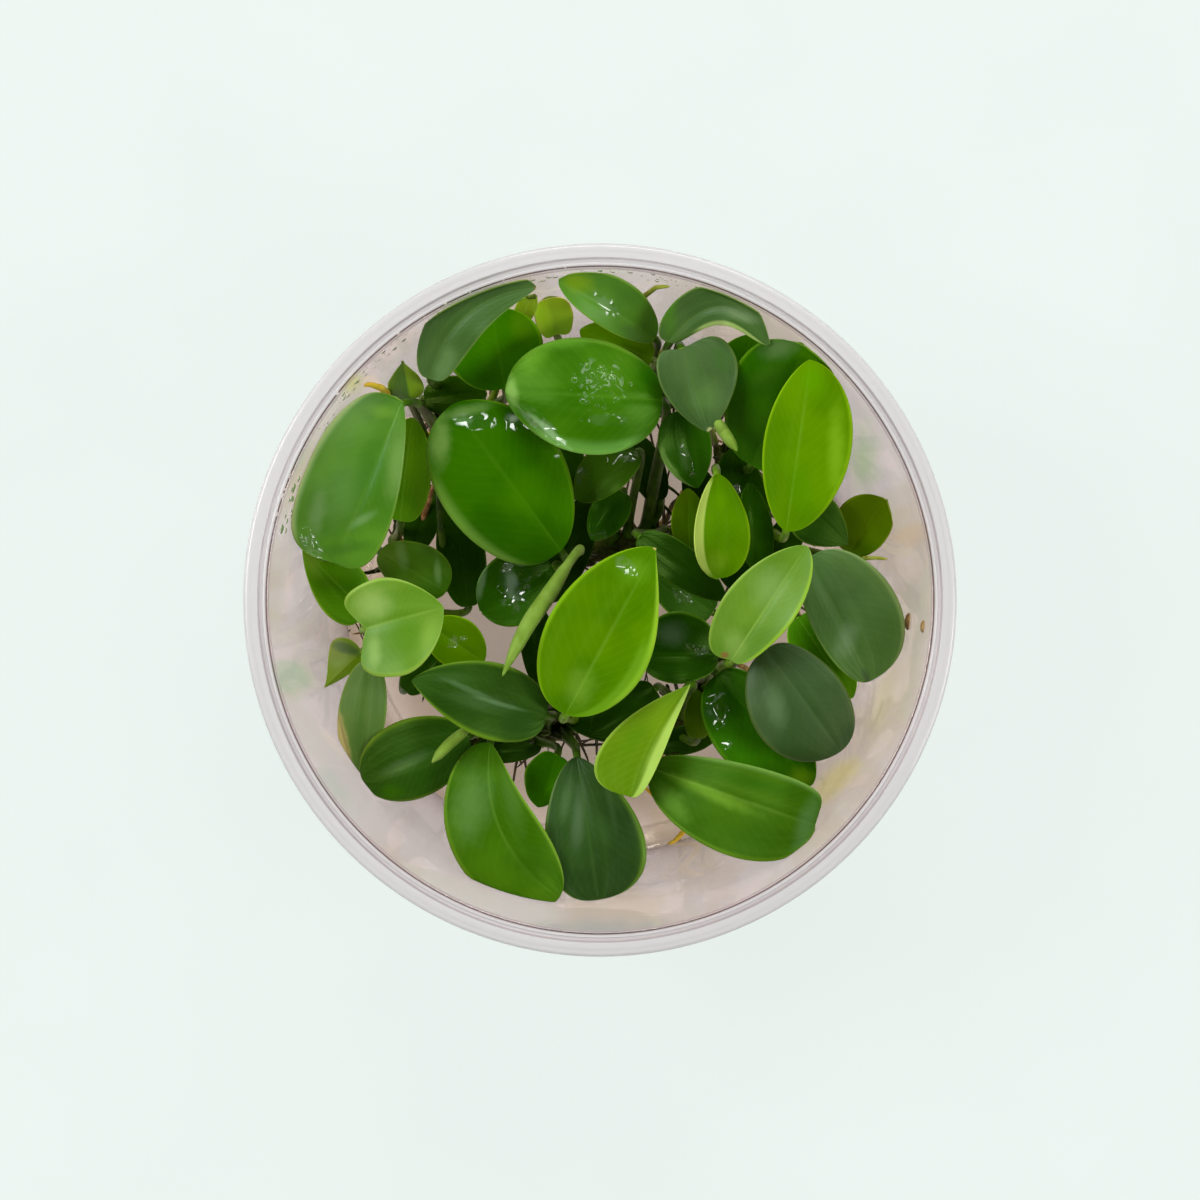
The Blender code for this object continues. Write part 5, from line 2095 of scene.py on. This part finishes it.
             Patch((716, 562), (16, 16), 0, (112, 154, 26), 0.6, 1.0),
         )),
    Leaf("top_right_curled", "top", 0.5, (9.9, 36.5, 55), (23.8, 35.9, 59), (3.3, 1.8, 0.4, 0.9),
         (2.6, -0.5, 0.5, 0.5), Tone.PAINTED_SHEEN, rise=(4, 3), sweep=5.0, marks=(
             Patch((668, 310), (12, 34), 0, (66, 116, 4), 0.9, 0.9),
             # Painted sheen: the blue-grey oval.
             Patch((740, 316), (26, 8), -20, (112, 136, 92), 0.6, 1.0),
             Band(1, 0.75, (150, 172, 92), 0.7, 0.2, 0.95),
         )),
    Leaf("top_right_hidden", "top", 1.0, (19.4, 29.9, 45), (21.7, 38.0, 48), (4.0, 0.0, 0.5, 0.7),
         (4.0, 0.0, 0.5, 0.7), Tone.GRASS, stalk=0.7, light=1.25),
    Leaf("centre_top_olive", "centre", 0.66, (5.3, 21.3, 43), (-3.2, 14.4, 42),
         (2.6, 0.3, 0.5, 0.6), (4.4, 0.3, 0.5, 0.6), Tone.MEADOW, stalk=0.7, light=0.8, marks=(
             wet((612, 458), (8, 5), 60),
             wet((628, 456), (12, 7)),
             wet((582, 478), (8, 12)),
         )),
    Leaf("centre_small_dark", "centre", 0.5, (3.2, 15.7, 36), (-1.2, 8.7, 37),
         (2.8, 0.4, 0.5, 0.7), (2.8, 0.4, 0.5, 0.7), Tone.DEEP, stalk=0.6, light=1.3, marks=(
             wet((598, 536), (10, 7)),
         )),
    Leaf("inner_right_strip", "right", 0.7, (13.0, 7.5, 39), (12.7, 16.2, 41),
         (2.6, 0.0, 0.5, 0.7), (2.6, 0.0, 0.5, 0.7), Tone.OLIVE, stalk=0.6, light=1.1),
    Leaf("inner_right_long", "centre", 1.0, (5.8, 9.1, 43), (18.2, 0.0, 44), (3.0, 0.5, 0.5, 0.7),
         (2.8, 0.5, 0.5, 0.7), Tone.BLACK, stalk=0.7),
    Leaf("inner_right_low", "right", 0.0, (16.3, -1.7, 38), (7.2, 4.1, 39), (3.6, 0.3, 0.5, 0.7),
         (3.6, 0.3, 0.5, 0.7), Tone.MOSS, stalk=0.7, light=1.35, marks=(
             wet((684, 594), (12, 10), -50),
         )),
    Leaf("inner_right_black", "lower_right", 0.0, (16.8, -7.8, 44.6), (5.7, -7.8, 45.6),
         (4.2, 0.8, 0.5, 0.5), (6.2, 0.8, 0.5, 0.5), Tone.BLACK, stalk=0.8, light=1.25, marks=(
             # Painted sheen: the grey oval.
             Patch((672, 634), (20, 16), 0, (66, 88, 58), 0.7, 1.0),
             wet((697, 650), (14, 6), -20, 0.6),
         )),
    Leaf("inner_lower_dark", "lower_right", 0.52, (7.9, -13.0, 42), (-1.4, -19.5, 41),
         (3.3, 0.0, 0.5, 0.7), (3.3, 0.0, 0.5, 0.7), Tone.BLACK, stalk=0.6, lean=(-1.0, 0.0)),
    Leaf("lower_right_olive", "lower_right", 0.82, (14.3, -20.2, 34), (14.2, -13.1, 36),
         (2.0, 0.0, 0.5, 0.7), (2.0, 0.0, 0.5, 0.7), Tone.OLIVE, stalk=0.6, light=1.35),
    Leaf("lower_right_glossy", "lower_right", 0.41, (16.9, -10.8, 43), (30.5, -26.6, 45),
         (5.0, 0.5, 0.5, 0.6), (7.2, 0.5, 0.5, 0.6), Tone.DEEP, light=1.35, marks=(
             wet((717, 710), (13, 18)),
             wet((727, 745), (7, 5)),
             Patch((800, 778), (18, 14), 0, (92, 140, 10), 0.8, 1.0),
         )),
    Leaf("right_strip", "right", 0.08, (28.5, -2.6, 45), (36.3, -14.1, 45.5), (4.0, 0.0, 0.5, 0.7),
         (4.0, 0.0, 0.5, 0.7), Tone.MEADOW, stalk=0.7, light=1.7),
    Leaf("right_pointed", "right", 0.62, (28.7, 14.3, 47), (35.6, 8.0, 46), (3.2, 0.0, 0.5, 0.9),
         (4.3, 0.0, 0.5, 0.9), Tone.MOSS, stalk=0.7, light=1.12),
    Leaf("right_olive", "right", 0.32, (35.9, 6.9, 42), (40.9, 14.4, 46), (4.7, 0.2, 0.5, 0.5),
         (3.4, 0.2, 0.5, 0.5), Tone.OLIVE, stalk=0.7, light=1.28),
    Leaf("inner_right_deep", "right", 0.4, (23.3, 4.5, 40), (21.5, 17.0, 42), (2.6, 0.0, 0.5, 0.7),
         (2.6, 0.0, 0.5, 0.7), Tone.DEEP, stalk=0.7),
)

# Leaves low between the others: their dark greens, most of them near-black, partly paint the shade
# in the canopy's gaps.
SHADED = (
    low_leaf("low_upper_left", "upper_left", 0.5, (-25.5, 29.4, 38), (-16.4, 30.0, 39), 2.9,
             # Painted highlight: the grey glint.
             Tone.DEEP, marks=(Patch((494, 402), (12, 4), -16, (86, 112, 84), 0.8, 0.8),)),
    low_leaf("low_left", "left", 0.6, (-19.4, -0.9, 28), (-21.6, 15.4, 32), 3.6, Tone.DEEP),
    low_leaf("low_centre", "centre", 0.3, (-8.1, 0.0, 26), (-1.4, 15.4, 30), 3.6),
    low_leaf("low_right", "right", 0.5, (20.8, 1.4, 33), (19.8, 22.5, 36), 4.8, Tone.DEEP,
             marks=(wet((735, 492), (12, 9)),)),
    low_leaf("low_middle", "lower", 0.9, (-7.7, -14.1, 22), (-10.4, 0.6, 26), 2.8),
    low_leaf("low_under_centre", "lower", 1.0, (-5.9, -15.6, 24), (8.6, -19.2, 25), 3.8),
    low_leaf("low_under_dark", "lower", 0.5, (-8.9, -21.6, 23), (-19.6, -22.6, 24), 2.2),
    low_leaf("low_top", "centre", 0.8, (8.9, 14.9, 23), (4.6, 25.0, 25), 2.7),
    low_leaf("low_inner_right", "centre", 0.95, (17.2, 10.0, 25), (13.2, 20.4, 27), 2.8),
    low_leaf("low_lower_right", "lower_right", 0.8, (8.2, -21.6, 22), (17.6, -20.0, 23), 2.2),
    low_leaf("low_far_right", "right", 0.45, (24.5, 4.5, 31), (29.6, 13.0, 33), 2.6, Tone.DEEP),
    low_leaf("low_upper", "centre", 0.6, (-4.2, 16.8, 24), (-6.2, 25.6, 26), 2.8, Tone.DEEP),
    low_leaf("low_far_left", "left", 0.1, (-27.6, 7.4, 27), (-24.6, 17.0, 29), 2.6, light=1.3),
    low_leaf("low_left_bit", "left", 0.9, (-28.5, -13.2, 34), (-23.2, -7.8, 36), 2.4, Tone.DEEP),
    low_leaf("top_yellow_bit", "upper_left", 0.9, (-11.6, 39.6, 48), (-9.4, 43.8, 51), 1.5,
             Tone.GOLDEN, light=1.3, stalk=0.5),
)

SPEARS = (
    Spear("centre", "centre", 0.34, ((-3.0, 7.2, 46), (-4.6, 5.0, 52), (-7.5, 0.5, 54.5),
                                     (-10.5, -4.0, 57), (-13.8, -10.8, 58)), 1.0),
    Spear("left", "lower", 0.15, ((-18.8, -18.3, 49), (-21.5, -20.5, 50.5), (-24.0, -23.2, 51)),
          0.7),
    Spear("right", "right", 1.0, ((16.3, 25.6, 52.5), (17.6, 23.7, 54.5), (19.4, 21.0, 56)), 0.75),
)
DROPS = (
    Drops("top_centre", 0.42, 0.15, 0.22, 0.5, 46, 0.12, 0.5),
    Drops("left_large", 0.9, 0.7, 0.05, 0.2, 12, 0.1, 0.4),
    WallDrops("wall_drops_left", (158.0, 168.0), (54.0, 59.5), 18, 0.35, 0.9),
    WallDrops("wall_drops_top", (70.0, 150.0), (57.0, 60.8), 110, 0.12, 0.42),
    WallDrops("wall_lump", (-4.3, -3.9), (48.8, 49.2), 1, 1.2, 1.3, TAN_ROOT),
    WallDrops("wall_speck", (-4.8, -4.4), (57.4, 57.6), 1, 0.8, 0.9, TAN_ROOT),
)


def main() -> None:
    """Builds the cup, the gel, the plants, the drops and the studio."""
    logging.basicConfig(level=logging.INFO, format="%(name)s: %(message)s")
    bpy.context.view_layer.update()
    CultureCup().build()
    AgarGel().build()
    for part in (*RHIZOMES.values(), *LEAVES, *SHADED, *SPEARS, *DROPS):
        part.build()
    Studio().build()


if __name__ == "__main__":
    main()
